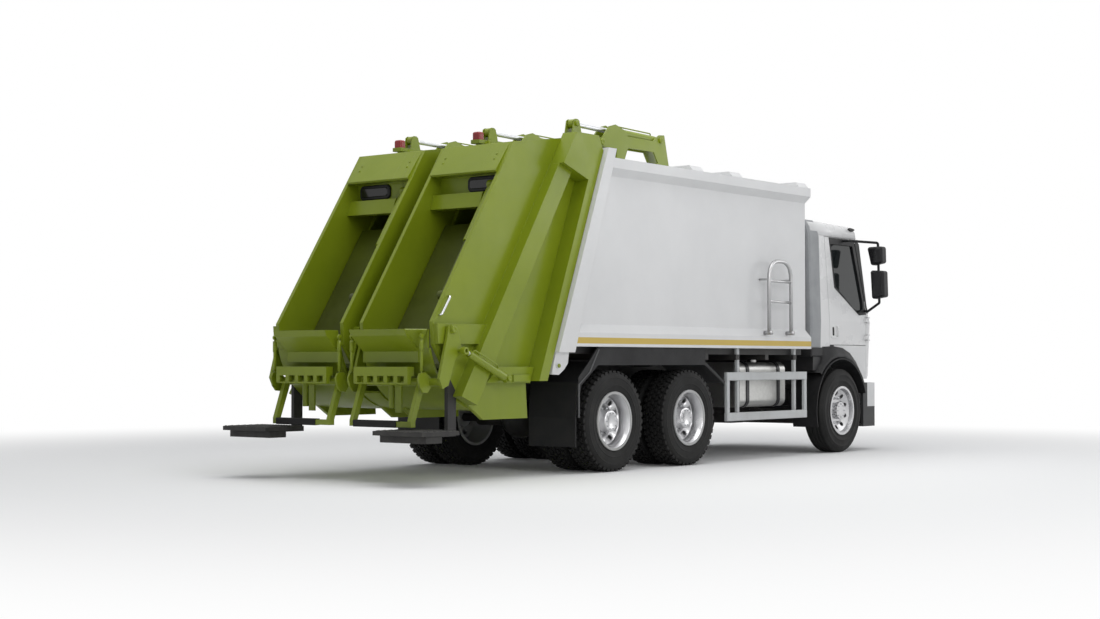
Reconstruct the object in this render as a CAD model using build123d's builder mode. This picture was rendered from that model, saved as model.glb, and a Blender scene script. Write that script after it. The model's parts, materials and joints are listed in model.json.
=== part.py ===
import math
import os

from build123d import *

os.makedirs("parts", exist_ok=True)

# A twin-hopper rear-loading garbage truck, in millimetres.
# +Z is up, the front faces -Y and +X is the truck's own left.
# Lengths along the truck are written from the rear axle, forward negative.

# Running gear
REAR_AXLE_Y = 1452.5
AXLE_SPACING = 1370
WHEELBASE = 3440
TYRE_R = 515
TYRE_W = 288
RIM_SEAT_R = 286
RIM_FLANGE_R = 299
RIM_FLANGE_W = 14
TWIN_SPACING = 335
REAR_TYRE_X = 1091
FRONT_TYRE_X = 1066
SPINDLE_R = 42
RUNNING_GAP = 0.3
HUB_R = 105
DISC_T = 16
KINGPIN_X = 880
KINGPIN_R = 24
STEER_BOSS_H = 120

# Chassis
RAIL_X = 425
RAIL_FLANGE = 80
RAIL_T = 9
RAIL_TOP = 1040
RAIL_BOTTOM = 770
RAIL_FRONT = -5610
RAIL_REAR = 620
CAB_PIVOT = (-5600, 965)
CAB_PIN_R = 26
TOW_PIN_R = 20
TOW_JAW_R = 60

# Body
BODY_X = 1250
BODY_PANEL_X = 1170
BODY_LINING_X = 1110
BODY_FRONT = -3970
SILL_BOTTOM = 1267
SILL_TOP = 1405
PANEL_BOTTOM = 1495
PANEL_TOP = 3013
RAIL_FACE_BOTTOM = 3087
BODY_TOP = 3190
ROOF_T = 60
ROOF_RIB_H = 60
FLOOR_T = 70
WALL_T = 60
SEAM_TOP = (128, 3285)
SEAM_BOTTOM = (947, 1208)
REAR_POST_TOP_W = 143
REAR_POST_BOTTOM_W = 259

# Tailgate
SEAM_GAP = 8
HINGE = (119, 3349)
FLANGE_X = 1200
FLANGE_W = 130
FRAME_BOTTOM = 930
WALL_X = 1030
HOPPER_WALL_T = 40
CENTRE_GAP = 110
POST_X = 1140
PLATE_X = 1080
WALL_REAR_TOP = (1382, 3239)
WALL_REAR_LOW = (2540, 1484)
WALL_FRONT_TOP = (640, 3345)
WALL_KNEE = (2523, 1276)
WALL_HEEL = (2189, 802)
TROUGH_CENTRE = (1800, 1420)
TROUGH_R = 740
TROUGH_T = 25
LIFT_EYE = (519, 3495)
LIFT_BARREL_PIN = (-926, 3466)
LIFT_EYE_X = 1090
LIFT_BARREL_R = 48
LIFT_ROD_R = 26
LIFT_BARREL_L = 775
LIFT_EYE_R = 46
EYE_W = 60
EYE_SIDE_GAP = 8
HINGE_PIN_R = 22
HINGE_LUG_W = 60

# Packers, placed on the slope of the hopper mouth: s runs down the slope and t out of it
PACK_ORIGIN = (1330, 2430)
PACK_CLEAR = 12
PACK_STROKE = 550
GUIDE_T = 40
GUIDE_W = 30
PACK_PANEL_T = 70
PACK_ROD_T = 345
PACK_BARREL = (-250, 440)
PACK_ROD_END = 1061
PACK_BARREL_R = 38
PACK_ROD_R = 22
PACK_EYE_R = 45
PACK_ARM_T = 34
PACK_SIDE = 140

# Bin lifts
BIN_PIVOT = (2360, 1410)
PIVOT_R = 40
BIN_EAR = (2277, 1216)
TIPPER_PIN = (1671, 958)
TIPPER_X = 1188
TIPPER_BARREL_R = 36
TIPPER_ROD_R = 20
TIPPER_BARREL_L = 590
TIPPER_EYE_R = 34
BIN_ARM_T = 30
ARM_GAP = 10
LIP_TIP = (2735, 1415)

# Cab
CAB_WALL = 60
CAB_GAP = 6
CAB_ROOF_SEAM = 2660
DOOR_REAR_TOP = (-4530, 2650)
DOOR_FRONT_TOP = (-5270, 2650)
DOOR_BELT_FRONT = (-5540, 1720)
DOOR_BOTTOM = 1325
DOOR_REAR_LEAN = 95
CAB_SKIRT_BOTTOM = 1010
DOOR_HINGE_X = 1172
DOOR_HINGE_Y = -5543
DOOR_HINGE_Z = (1420, 1640)
DOOR_PIN_R = 7
KNUCKLE_H = 50
HINGE_TAB = 16
CAB_FLOOR_TOP = 1195
CAB_FLOOR_T = 50
ARCH_R = 660
MUDGUARD_R = 630
MUDGUARD_T = 14

FRONT_AXLE = -AXLE_SPACING - WHEELBASE
WHEEL_Z = TYRE_R
SIDE_PLANE = Plane(origin=(0, REAR_AXLE_Y, 0), x_dir=(0, 1, 0), z_dir=(1, 0, 0))
CROSS_PLANE = Plane(origin=(0, REAR_AXLE_Y, 0), x_dir=(1, 0, 0), z_dir=(0, -1, 0))
SIDES = (("left", 1), ("right", -1))


def plate(outline, x_from, x_to, mode=Mode.ADD):
    """Extrude a (y, z) outline across the truck from x_from to x_to."""
    with BuildSketch(SIDE_PLANE.offset(min(x_from, x_to))) as face:
        with BuildLine():
            Polyline(*outline, close=True)
        make_face()
    extrude(face.sketch, amount=abs(x_to - x_from), mode=mode)


def bar(outline, y_from, y_to, mode=Mode.ADD):
    """Extrude an (x, z) outline along the truck from y_from to y_to."""
    with BuildSketch(CROSS_PLANE.offset(-max(y_from, y_to))) as face:
        with BuildLine():
            Polyline(*outline, close=True)
        make_face()
    extrude(face.sketch, amount=abs(y_to - y_from), mode=mode)


def block(x_span, y_span, z_span, mode=Mode.ADD):
    """A box between two limits on each axis."""
    centre = [sum(span) / 2 for span in (x_span, y_span, z_span)]
    centre[1] += REAR_AXLE_Y
    size = [abs(span[1] - span[0]) for span in (x_span, y_span, z_span)]
    with Locations(tuple(centre)):
        Box(*size, mode=mode)


def cross_tube(y, z, radius, x_from, x_to, mode=Mode.ADD):
    """A round bar across the truck."""
    middle = ((x_from + x_to) / 2, REAR_AXLE_Y + y, z)
    with Locations(Location(middle, (0, 90, 0))):
        Cylinder(radius, abs(x_to - x_from), mode=mode)


def rod_between(start, end, x, radius, mode=Mode.ADD):
    """A round bar in a plane of constant x between two (y, z) points."""
    length = math.hypot(end[0] - start[0], end[1] - start[1])
    direction = (0, end[0] - start[0], end[1] - start[1])
    base = Plane(origin=(x, REAR_AXLE_Y + start[0], start[1]), x_dir=(1, 0, 0), z_dir=direction)
    with BuildSketch(base) as face:
        Circle(radius)
    extrude(face.sketch, amount=length, mode=mode)


def corner_plate(corners, thickness):
    """A three-cornered plate with its mid plane through (x, y, z) corners."""
    first, second, third = [Vector(x, REAR_AXLE_Y + y, z) for x, y, z in corners]
    across = second - first
    base = Plane(origin=first, x_dir=across, z_dir=across.cross(third - first))
    with BuildSketch(base) as face:
        with BuildLine():
            Polyline(*[base.to_local_coords(corner) for corner in (first, second, third)], close=True)
        make_face()
    extrude(face.sketch, amount=thickness / 2, both=True)


def along(start, end, distance):
    """The (y, z) point a distance from start towards end."""
    length = math.hypot(end[0] - start[0], end[1] - start[1])
    share = distance / length
    return (start[0] + (end[0] - start[0]) * share, start[1] + (end[1] - start[1]) * share)


def seam_y(z, back=0.0):
    """Where the sloped joint between body and tailgate lies at a height."""
    slope = (SEAM_BOTTOM[0] - SEAM_TOP[0]) / (SEAM_TOP[1] - SEAM_BOTTOM[1])
    return SEAM_TOP[0] + (SEAM_TOP[1] - z) * slope + back


def post_front_y(z):
    """The front edge of the sloped rear post at a height."""
    share = (SEAM_TOP[1] - z) / (SEAM_TOP[1] - SEAM_BOTTOM[1])
    return seam_y(z) - REAR_POST_TOP_W - (REAR_POST_BOTTOM_W - REAR_POST_TOP_W) * share


def save(piece, name):
    """Label a finished piece and write it."""
    piece.part.label = name
    export_step(piece.part, f"parts/{name}.step")


# Chassis: two channel rails, cross members, cab pivot pins and a tow jaw at each end
CROSS_MEMBERS = (-5400, -3400, -2750, -2100, -685, 500)
with BuildPart() as chassis_frame:
    inner = RAIL_X - RAIL_FLANGE
    web = RAIL_X - RAIL_T
    channel = [
        (RAIL_X, RAIL_TOP), (inner, RAIL_TOP), (inner, RAIL_TOP - RAIL_T), (web, RAIL_TOP - RAIL_T),
        (web, RAIL_BOTTOM + RAIL_T), (inner, RAIL_BOTTOM + RAIL_T), (inner, RAIL_BOTTOM), (RAIL_X, RAIL_BOTTOM),
    ]
    bar(channel, RAIL_FRONT, RAIL_REAR)
    cross_tube(*CAB_PIVOT, CAB_PIN_R, web, RAIL_X + 110)
    mirror(about=Plane.YZ)
    for member in CROSS_MEMBERS:
        block((-web, web), (member - 45, member + 45), (RAIL_BOTTOM + RAIL_T, RAIL_BOTTOM + 130))
    for jaw_y, carrier_y in ((RAIL_FRONT + 45, CROSS_MEMBERS[0]), (RAIL_REAR + 60, CROSS_MEMBERS[-1])):
        block((-TOW_JAW_R, TOW_JAW_R), (jaw_y, carrier_y), (RAIL_BOTTOM + 20, RAIL_BOTTOM + 110))
        with Locations((0, REAR_AXLE_Y + jaw_y, RAIL_BOTTOM + 65)):
            Cylinder(TOW_JAW_R, 90)
            Cylinder(TOW_PIN_R, 200, mode=Mode.SUBTRACT)
save(chassis_frame, "chassis_frame")

# Axles: dropped front beam on leaf springs, two drive axles on a pair of walking springs
SPRING_X = 385
SPRING_W = 75
LEAF_T = 18
NOSE_L = 270
with BuildPart() as axles:
    with BuildSketch(CROSS_PLANE.offset(-FRONT_AXLE - 55)) as beam:
        with BuildLine():
            Polyline(
                (-KINGPIN_X, WHEEL_Z - 45), (-700, WHEEL_Z - 50), (-600, 350), (600, 350),
                (700, WHEEL_Z - 50), (KINGPIN_X, WHEEL_Z - 45), (KINGPIN_X, WHEEL_Z + 45),
                (680, WHEEL_Z + 45), (560, 450), (-560, 450), (-680, WHEEL_Z + 45), (-KINGPIN_X, WHEEL_Z + 45),
                close=True,
            )
        make_face()
    extrude(beam.sketch, amount=110)
    for sign in (1, -1):
        with Locations((sign * KINGPIN_X, REAR_AXLE_Y + FRONT_AXLE, WHEEL_Z)):
            Cylinder(58, STEER_BOSS_H)
            Cylinder(KINGPIN_R + RUNNING_GAP, STEER_BOSS_H + 2, mode=Mode.SUBTRACT)
        spring_span = (sign * (SPRING_X - SPRING_W / 2), sign * (SPRING_X + SPRING_W / 2))
        for leaf, half in enumerate((760, 620, 460, 300)):
            top = 540 - leaf * LEAF_T
            block(spring_span, (FRONT_AXLE - half, FRONT_AXLE + half), (top - LEAF_T, top))
        block(spring_span, (FRONT_AXLE - 90, FRONT_AXLE + 90), (440, 470))
        for hanger in (FRONT_AXLE - 740, FRONT_AXLE + 740):
            block(spring_span, (hanger - 40, hanger + 40), (540, RAIL_BOTTOM))
    for axle_y in (0, -AXLE_SPACING):
        cross_tube(axle_y, WHEEL_Z, 78, -560, 560)
        cross_tube(axle_y, WHEEL_Z, SPINDLE_R, -REAR_TYRE_X, REAR_TYRE_X)
        with Locations((0, REAR_AXLE_Y + axle_y, WHEEL_Z)):
            Sphere(205)
        rod_between((axle_y, WHEEL_Z + 20), (axle_y - NOSE_L, WHEEL_Z + 20), 0, 72)
    for sign in (1, -1):
        spring_span = (sign * (SPRING_X - SPRING_W / 2), sign * (SPRING_X + SPRING_W / 2))
        middle = -AXLE_SPACING / 2
        for leaf, half in enumerate((AXLE_SPACING / 2 + 90, 560, 420, 280)):
            bottom = WHEEL_Z + 60 + leaf * 22
            block(spring_span, (middle - half, middle + half), (bottom, bottom + 22))
        block(spring_span, (middle - 130, middle + 130), (WHEEL_Z + 60, RAIL_BOTTOM))
save(axles, "axles")

# Power train: one plain engine and gearbox block with its propeller shaft
ENGINE = (-5330, -4330)
GEARBOX_END = -3480
SHAFT_END = (-AXLE_SPACING - NOSE_L - 8, WHEEL_Z + 30)
with BuildPart() as powertrain:
    block((-340, 340), ENGINE, (RAIL_BOTTOM - 200, 1330))
    block((-240, 240), (ENGINE[1], GEARBOX_END), (RAIL_BOTTOM - 180, RAIL_TOP - 60))
    fillet(powertrain.edges().filter_by(Axis.Z), 40)
    rod_between((GEARBOX_END, 720), SHAFT_END, 0, 55)
    for mount_y, half in ((-5150, 340), (-4500, 340), (-3900, 240)):
        for sign in (1, -1):
            block((sign * half, sign * (RAIL_X - RAIL_T)), (mount_y - 50, mount_y + 50), (880, 940))
save(powertrain, "powertrain")

# Body: two ribbed side walls, roof, floor with sub frame, front wall and the sloped rear frame
with BuildPart() as body_sides:
    wall = [
        (BODY_LINING_X, SILL_BOTTOM), (BODY_X, SILL_BOTTOM), (BODY_X, SILL_TOP), (BODY_PANEL_X, PANEL_BOTTOM),
        (BODY_PANEL_X, PANEL_TOP), (BODY_X, RAIL_FACE_BOTTOM), (BODY_X, BODY_TOP), (BODY_LINING_X, BODY_TOP),
    ]
    bar(wall, BODY_FRONT, SEAM_BOTTOM[0])
    behind = [
        (post_front_y(1000), 1000), (post_front_y(3400), 3400), (SEAM_BOTTOM[0] + 300, 3400),
        (SEAM_BOTTOM[0] + 300, 1000),
    ]
    plate(behind, BODY_LINING_X - 10, BODY_X + 10, mode=Mode.SUBTRACT)
    mirror(about=Plane.YZ)
save(body_sides, "body_sides")

with BuildPart() as body_rear_frame:
    slanted = [
        (post_front_y(SILL_BOTTOM - 59), SILL_BOTTOM - 59), (seam_y(SILL_BOTTOM - 59), SILL_BOTTOM - 59),
        (seam_y(SEAM_TOP[1]), SEAM_TOP[1]), (post_front_y(SEAM_TOP[1]), SEAM_TOP[1]),
    ]
    plate(slanted, -BODY_X, BODY_X)
    opening_z = (SILL_BOTTOM + 70, BODY_TOP - 90)
    block((-BODY_LINING_X, BODY_LINING_X), (-600, 1600), opening_z, mode=Mode.SUBTRACT)
    latch = [(723, 1216), (930, 1216), (970, 1100), (1000, 995), (888, 988), (801, 1041), (742, 1100)]
    for sign in (1, -1):
        plate(latch, sign * (FLANGE_X - 60), sign * FLANGE_X)
        cross_tube(917, 1077, 26, sign * FLANGE_X, sign * (FLANGE_X + 22))
save(body_rear_frame, "body_rear_frame")

ROOF_RIBS = (-3960, -2475, -1670)
ROOF_RIB_W = 220
with BuildPart() as body_roof:
    roof = [
        (BODY_FRONT, BODY_TOP), (BODY_FRONT, BODY_TOP - ROOF_T),
        (post_front_y(BODY_TOP - ROOF_T), BODY_TOP - ROOF_T), (post_front_y(BODY_TOP), BODY_TOP),
    ]
    plate(roof, -BODY_LINING_X, BODY_LINING_X)
    foot, crown = BODY_X - 20, BODY_X - 70
    pressing = [
        (-foot, BODY_TOP), (foot, BODY_TOP), (crown, BODY_TOP + ROOF_RIB_H), (-crown, BODY_TOP + ROOF_RIB_H),
    ]
    for rib_y in ROOF_RIBS:
        bar(pressing, rib_y, rib_y + ROOF_RIB_W)
save(body_roof, "body_roof")

with BuildPart() as body_floor:
    under = [
        (BODY_FRONT, SILL_BOTTOM), (BODY_FRONT, SILL_BOTTOM - FLOOR_T),
        (post_front_y(SILL_BOTTOM - 59) - 20, SILL_BOTTOM - FLOOR_T),
        (post_front_y(SILL_BOTTOM - 59) - 20, SILL_BOTTOM),
    ]
    plate(under, -BODY_LINING_X, BODY_LINING_X)
    for sign in (1, -1):
        beam_span = (sign * (RAIL_X - RAIL_FLANGE), sign * RAIL_X)
        block(beam_span, (BODY_FRONT, RAIL_REAR), (RAIL_TOP, SILL_BOTTOM - FLOOR_T))
    for bearer in range(7):
        bearer_y = BODY_FRONT + 250 + bearer * 640
        bearer_z = (SILL_BOTTOM - 130, SILL_BOTTOM - FLOOR_T)
        block((-BODY_PANEL_X, BODY_PANEL_X), (bearer_y - 35, bearer_y + 35), bearer_z)
save(body_floor, "body_floor")

with BuildPart() as body_front_wall:
    block(
        (-BODY_LINING_X, BODY_LINING_X), (BODY_FRONT, BODY_FRONT + WALL_T), (SILL_BOTTOM, BODY_TOP - ROOF_T),
    )
    for stiffener in (-740, -370, 0, 370, 740):
        block((stiffener - 40, stiffener + 40), (BODY_FRONT - 40, BODY_FRONT), (SILL_BOTTOM, BODY_TOP - ROOF_T))
save(body_front_wall, "body_front_wall")

# Lift cylinder brackets on the roof: a pair of side plates on two feet for each cylinder
LIFT_XS = (LIFT_EYE_X, 0, -LIFT_EYE_X)
BRACKET_T = 14
BRACKET_HALF = LIFT_BARREL_R + 8
with BuildPart() as roof_brackets:
    side_plate = [
        (HINGE[0], HINGE[1] - 45), (HINGE[0] + 14, HINGE[1] + 27), (-10, 3523), (-118, 3551), (-286, 3505),
        (-337, 3450), (-790, 3448), (-906, 3521), (-1000, 3529), (-1090, BODY_TOP), (-905, BODY_TOP),
        (-805, 3331), (-337, 3329), (-270, BODY_TOP), (-132, BODY_TOP), (-140, HINGE[1] - 45),
    ]
    for lift_x in LIFT_XS:
        for face in (-1, 1):
            edge = lift_x + face * BRACKET_HALF
            plate(side_plate, edge, edge + face * BRACKET_T)
            cross_tube(*HINGE, 45, edge, edge + face * BRACKET_T)
        outer = BRACKET_HALF + BRACKET_T
        block((lift_x - outer, lift_x + outer), (-1000, -860), (BODY_TOP, BODY_TOP + 30))
        cross_tube(*LIFT_BARREL_PIN, HINGE_PIN_R, lift_x - outer, lift_x + outer)
        cross_tube(*HINGE, HINGE_PIN_R, lift_x - outer, lift_x + outer)
save(roof_brackets, "roof_brackets")

# Fuel tank with two straps on the right, battery box on the left
TANK_Y = (-3776, -2757)
TANK_Z = (590, 1110)
TANK_X = 1000
TANK_FILLET = 90
STRAP_T = 8
STRAP_W = 60
with BuildPart() as fuel_tank:
    tank_inner = -RAIL_X - 40
    block((-TANK_X, tank_inner), TANK_Y, TANK_Z)
    fillet(fuel_tank.edges().filter_by(Axis.Y), TANK_FILLET)
    for strap_y in (TANK_Y[0] + 160, TANK_Y[1] - 170):
        block((-RAIL_X - 60, -RAIL_X), (strap_y - 40, strap_y + 40), (RAIL_BOTTOM + 10, RAIL_TOP - 10))
        with BuildSketch(CROSS_PLANE.offset(-strap_y - STRAP_W / 2)) as band:
            with Locations(((tank_inner - TANK_X) / 2, sum(TANK_Z) / 2)):
                width = TANK_X + tank_inner + 2 * STRAP_T
                height = TANK_Z[1] - TANK_Z[0] + 2 * STRAP_T
                RectangleRounded(width, height, TANK_FILLET + STRAP_T)
        extrude(band.sketch, amount=STRAP_W)
    with Locations((-TANK_X + 150, REAR_AXLE_Y + sum(TANK_Y) / 2, TANK_Z[1])):
        Cylinder(55, 90)
save(fuel_tank, "fuel_tank")

with BuildPart() as battery_box:
    block((RAIL_X + 40, 960), (-3650, -2950), (640, 1040))
    fillet(battery_box.edges().filter_by(Axis.Y), 30)
    for bracket_y in (-3500, -3100):
        block((RAIL_X, RAIL_X + 60), (bracket_y - 40, bracket_y + 40), (RAIL_BOTTOM + 10, RAIL_TOP - 10))
save(battery_box, "battery_box")

# Side guards: two rails on end posts and two uprights, hung from the body bearers
GUARD_Y = (-3945, -2170)
GUARD_X = (1165, 1205)
with BuildPart() as side_guards:
    for low in (452, 905):
        block(GUARD_X, GUARD_Y, (low, low + 93))
    for post_y in (GUARD_Y[0], GUARD_Y[1] - 60):
        block(GUARD_X, (post_y, post_y + 60), (452, 998))
    for upright_y in (-3300, -2600):
        block((GUARD_X[0] - 40, GUARD_X[0]), (upright_y - 30, upright_y + 30), (460, SILL_BOTTOM))
    mirror(about=Plane.YZ)
save(side_guards, "side_guards")

# Ladder: a bent tube with two rungs, standing off the right-hand side
LADDER_X = -1300
LADDER_LEGS = (-3418, -2913)
LADDER_TOP = 2273
LADDER_R = 17
LADDER_BEND = 150
with BuildPart() as ladder:
    foot_z = SILL_TOP - 25
    front_leg, rear_leg = [REAR_AXLE_Y + leg for leg in LADDER_LEGS]
    with BuildLine() as rail_path:
        FilletPolyline(
            (LADDER_X, front_leg, foot_z), (LADDER_X, front_leg, LADDER_TOP), (LADDER_X, rear_leg, LADDER_TOP),
            (LADDER_X, rear_leg, foot_z), radius=LADDER_BEND,
        )
    start = Plane(origin=rail_path.line @ 0, z_dir=rail_path.line % 0)
    with BuildSketch(start):
        Circle(LADDER_R)
    sweep(path=rail_path.line)
    for leg_y in LADDER_LEGS:
        cross_tube(leg_y, foot_z + LADDER_R, LADDER_R, LADDER_X - LADDER_R, -BODY_X)
    for rung_z in (1800, 2040):
        block((LADDER_X - 14, LADDER_X + 14), LADDER_LEGS, (rung_z - 14, rung_z + 14))
    for stay_y in LADDER_LEGS:
        block((LADDER_X, -BODY_PANEL_X), (stay_y - 12, stay_y + 12), (2150, 2174))
save(ladder, "ladder")

# Mudguards: arcs over the front wheels, skirted covers with mud flaps over the rear pairs
GUARD_INNER_X = 870
FLAP_Y = 600
with BuildPart() as mudguards:
    front_z = Plane(origin=(GUARD_INNER_X, REAR_AXLE_Y + FRONT_AXLE, WHEEL_Z), x_dir=(0, 1, 0), z_dir=(1, 0, 0))
    with BuildSketch(front_z) as arc_band:
        Circle(MUDGUARD_R + MUDGUARD_T)
        Circle(MUDGUARD_R, mode=Mode.SUBTRACT)
        with BuildLine():
            Polyline((0, 0), (1400, -430), (1400, -1400), (-1400, -1400), (-1400, 480), close=True)
        make_face(mode=Mode.SUBTRACT)
    extrude(arc_band.sketch, amount=FRONT_TYRE_X + TYRE_W / 2 - GUARD_INNER_X)
    bracket_y = (FRONT_AXLE + MUDGUARD_R - 8, FRONT_AXLE + MUDGUARD_R + 32)
    bracket_x = (GUARD_INNER_X - 30, GUARD_INNER_X + 4)
    block((RAIL_X, bracket_x[1]), bracket_y, (RAIL_BOTTOM + 10, RAIL_BOTTOM + 70))
    block(bracket_x, bracket_y, (WHEEL_Z + 45, RAIL_BOTTOM + 70))
    cover = [
        (-2110, 880), (-1700, 1105), (260, 1105), (FLAP_Y - 30, 900), (FLAP_Y, 560), (FLAP_Y, 270),
        (FLAP_Y + 14, 270), (FLAP_Y + 14, 560), (FLAP_Y - 14, 912), (270, 1119), (-1706, 1119), (-2118, 893),
    ]
    plate(cover, 605, 1195)
    skirt = [
        (-2118, 893), (-1706, 1119), (-1733, SILL_BOTTOM), (257, SILL_BOTTOM), (420, 1105), (FLAP_Y - 14, 960),
        (FLAP_Y - 14, 700), (FLAP_Y - 60, 880), (260, 1080), (-1700, 1080), (-2090, 870),
    ]
    plate(skirt, 1195, 1212)
    for stay_y in (-1500, 150):
        block((RAIL_X, 620), (stay_y - 25, stay_y + 25), (1060, 1104))
        block((600, 640), (stay_y - 25, stay_y + 25), (1060, 1112))
    mirror(about=Plane.YZ)
save(mudguards, "mudguards")


# Cab shell: stacked plan outlines with a bowed front, lofted as straight walls
# Columns: height, half width, end of the flat side, corner x, corner y, centre of the bow, back
CAB_SECTIONS = (
    (900, 1126, -5560, 955, -5730, -5795, -4215),
    (940, 1130, -5560, 960, -5760, -5835, -4215),
    (1618, 1150, -5590, 960, -5795, -5870, -4205),
    (2677, 1120, -5150, 930, -5290, -5350, -4185),
    (2850, 1030, -4960, 860, -5060, -5100, -4260),
)
CORNER = math.cos(math.radians(45))


def cab_loft(inset):
    """The cab's outer form drawn in by inset on every side, with its bottom left long."""
    with BuildPart() as form:
        for z, half, side_end, corner_x, corner_y, bow, back in CAB_SECTIONS:
            top = z == CAB_SECTIONS[-1][0]
            bottom = z == CAB_SECTIONS[0][0]
            height = z - inset if top else z - 5 * (inset > 0) if bottom else z
            side = half - inset
            bend_x = corner_x - inset * CORNER
            bend_y = corner_y + inset
            corner_mid = (bend_x + (side - bend_x) * CORNER, side_end + (bend_y - side_end) * CORNER)
            with BuildSketch(Plane(origin=(0, REAR_AXLE_Y, height))):
                with BuildLine():
                    Polyline((-side, side_end), (-side, back - inset), (side, back - inset), (side, side_end))
                    ThreePointArc((side, side_end), corner_mid, (bend_x, bend_y))
                    ThreePointArc((bend_x, bend_y), (0, bow + inset), (-bend_x, bend_y))
                    ThreePointArc((-bend_x, bend_y), (-corner_mid[0], corner_mid[1]), (-side, side_end))
                make_face()
        loft(ruled=True)
    return form.part


cab_outer = cab_loft(0)
cab_inner = cab_loft(CAB_WALL)
glass_outer = cab_loft(14)
glass_inner = cab_loft(32)
CAB_REAR = CAB_SECTIONS[0][6]
FAR = 2000


def door_outline(grow):
    """The door's outline, grown all round for its opening."""
    rear_x = DOOR_REAR_TOP[0] + grow
    return [
        (rear_x, DOOR_REAR_TOP[1] + grow), (DOOR_FRONT_TOP[0] - grow / 2, DOOR_REAR_TOP[1] + grow),
        (DOOR_BELT_FRONT[0] - grow, DOOR_BELT_FRONT[1] + grow / 2), (DOOR_BELT_FRONT[0] - grow, DOOR_BOTTOM - grow),
        (rear_x - DOOR_REAR_LEAN, DOOR_BOTTOM - grow),
    ]


WINDOW = [
    (-4665, 2600), (-5225, 2600), (-5465, 1850), (-5465, 1768), (-5330, 1715), (-4765, 2040), (-4700, 2380),
]
SCREEN_LOW = (1000, 1730)
SCREEN_HIGH = (930, 2590)


def screen_outline(grow):
    """The windscreen opening seen from the front."""
    return [
        (-SCREEN_LOW[0] - grow, SCREEN_LOW[1] - grow), (SCREEN_LOW[0] + grow, SCREEN_LOW[1] - grow),
        (SCREEN_HIGH[0] + grow, SCREEN_HIGH[1] + grow), (-SCREEN_HIGH[0] - grow, SCREEN_HIGH[1] + grow),
    ]


with BuildPart() as cab_shell:
    add(cab_outer)
    add(cab_inner, mode=Mode.SUBTRACT)
    cross_tube(FRONT_AXLE, WHEEL_Z, ARCH_R, -FAR, FAR, mode=Mode.SUBTRACT)
    block((-FAR, FAR), (FRONT_AXLE, CAB_REAR + 200), (0, CAB_SKIRT_BOTTOM), mode=Mode.SUBTRACT)
    block((-600, 600), (FRONT_AXLE, CAB_REAR + 200), (0, RAIL_TOP + 25), mode=Mode.SUBTRACT)

with BuildPart() as cab_roof:
    add(cab_shell.part)
    block((-FAR, FAR), (-7000, 0), (CAB_ROOF_SEAM, 4000), mode=Mode.INTERSECT)
save(cab_roof, "cab_roof")

BACK_WALL_FRONT = DOOR_REAR_TOP[0] - DOOR_REAR_LEAN + CAB_GAP
with BuildPart() as cab_rear_wall:
    add(cab_shell.part)
    block((-FAR, FAR), (BACK_WALL_FRONT, 0), (CAB_FLOOR_TOP, CAB_ROOF_SEAM), mode=Mode.INTERSECT)
    plate(door_outline(CAB_GAP), -FAR, FAR, mode=Mode.SUBTRACT)
    block((-520, 520), (-4500, 0), (2000, 2450), mode=Mode.SUBTRACT)
    block((-520, 520), (CAB_REAR - 40, CAB_REAR - 20), (2000, 2450))
save(cab_rear_wall, "cab_rear_wall")

with BuildPart() as cab_front:
    add(cab_shell.part)
    block((-FAR, FAR), (-7000, BACK_WALL_FRONT), (0, CAB_ROOF_SEAM), mode=Mode.INTERSECT)
    plate(door_outline(CAB_GAP), -FAR, FAR, mode=Mode.SUBTRACT)
    block((-FAR, FAR), (DOOR_BELT_FRONT[0] - CAB_GAP, 0), (0, DOOR_BOTTOM + 40), mode=Mode.SUBTRACT)
    bar(screen_outline(0), -6200, -5000, mode=Mode.SUBTRACT)
    for slat in range(5):
        slat_z = 1090 + slat * 75
        block((-760, 760), (-6000, -5803), (slat_z, slat_z + 42), mode=Mode.SUBTRACT)
    for sign in (1, -1):
        for hinge_z in DOOR_HINGE_Z:
            axis_x = sign * DOOR_HINGE_X
            with Locations((axis_x, REAR_AXLE_Y + DOOR_HINGE_Y, hinge_z)):
                Cylinder(DOOR_PIN_R, 2 * HINGE_TAB + KNUCKLE_H)
            for tab_z in (hinge_z - KNUCKLE_H / 2 - HINGE_TAB, hinge_z + KNUCKLE_H / 2):
                tab = (tab_z, tab_z + HINGE_TAB - RUNNING_GAP)
                hinge_edge = DOOR_BELT_FRONT[0] - CAB_GAP
                tab_x = (sign * (DOOR_HINGE_X - 45), axis_x + sign * 9)
                block(tab_x, (hinge_edge - 45, hinge_edge - 4), tab)
                block((axis_x - sign * 9, axis_x + sign * 9), (hinge_edge - 4, DOOR_HINGE_Y + 5), tab)
save(cab_front, "cab_front")

with BuildPart() as windscreen:
    add(glass_outer)
    add(glass_inner, mode=Mode.SUBTRACT)
    bar(screen_outline(0), -6200, -5000, mode=Mode.INTERSECT)
save(windscreen, "windscreen")

TUNNEL_X = 420
TUNNEL_TOP = 1430
TUNNEL_FRONT = -5420
floor_form = cab_loft(CAB_WALL - 10)
with BuildPart() as cab_skirts:
    add(cab_shell.part)
    with BuildPart(mode=Mode.INTERSECT):
        skirt_front = DOOR_BELT_FRONT[0] - CAB_GAP
        block((-FAR, FAR), (skirt_front, 0), (0, CAB_FLOOR_TOP))
        block((-FAR, FAR), (skirt_front, BACK_WALL_FRONT), (0, DOOR_BOTTOM - CAB_GAP))

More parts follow.
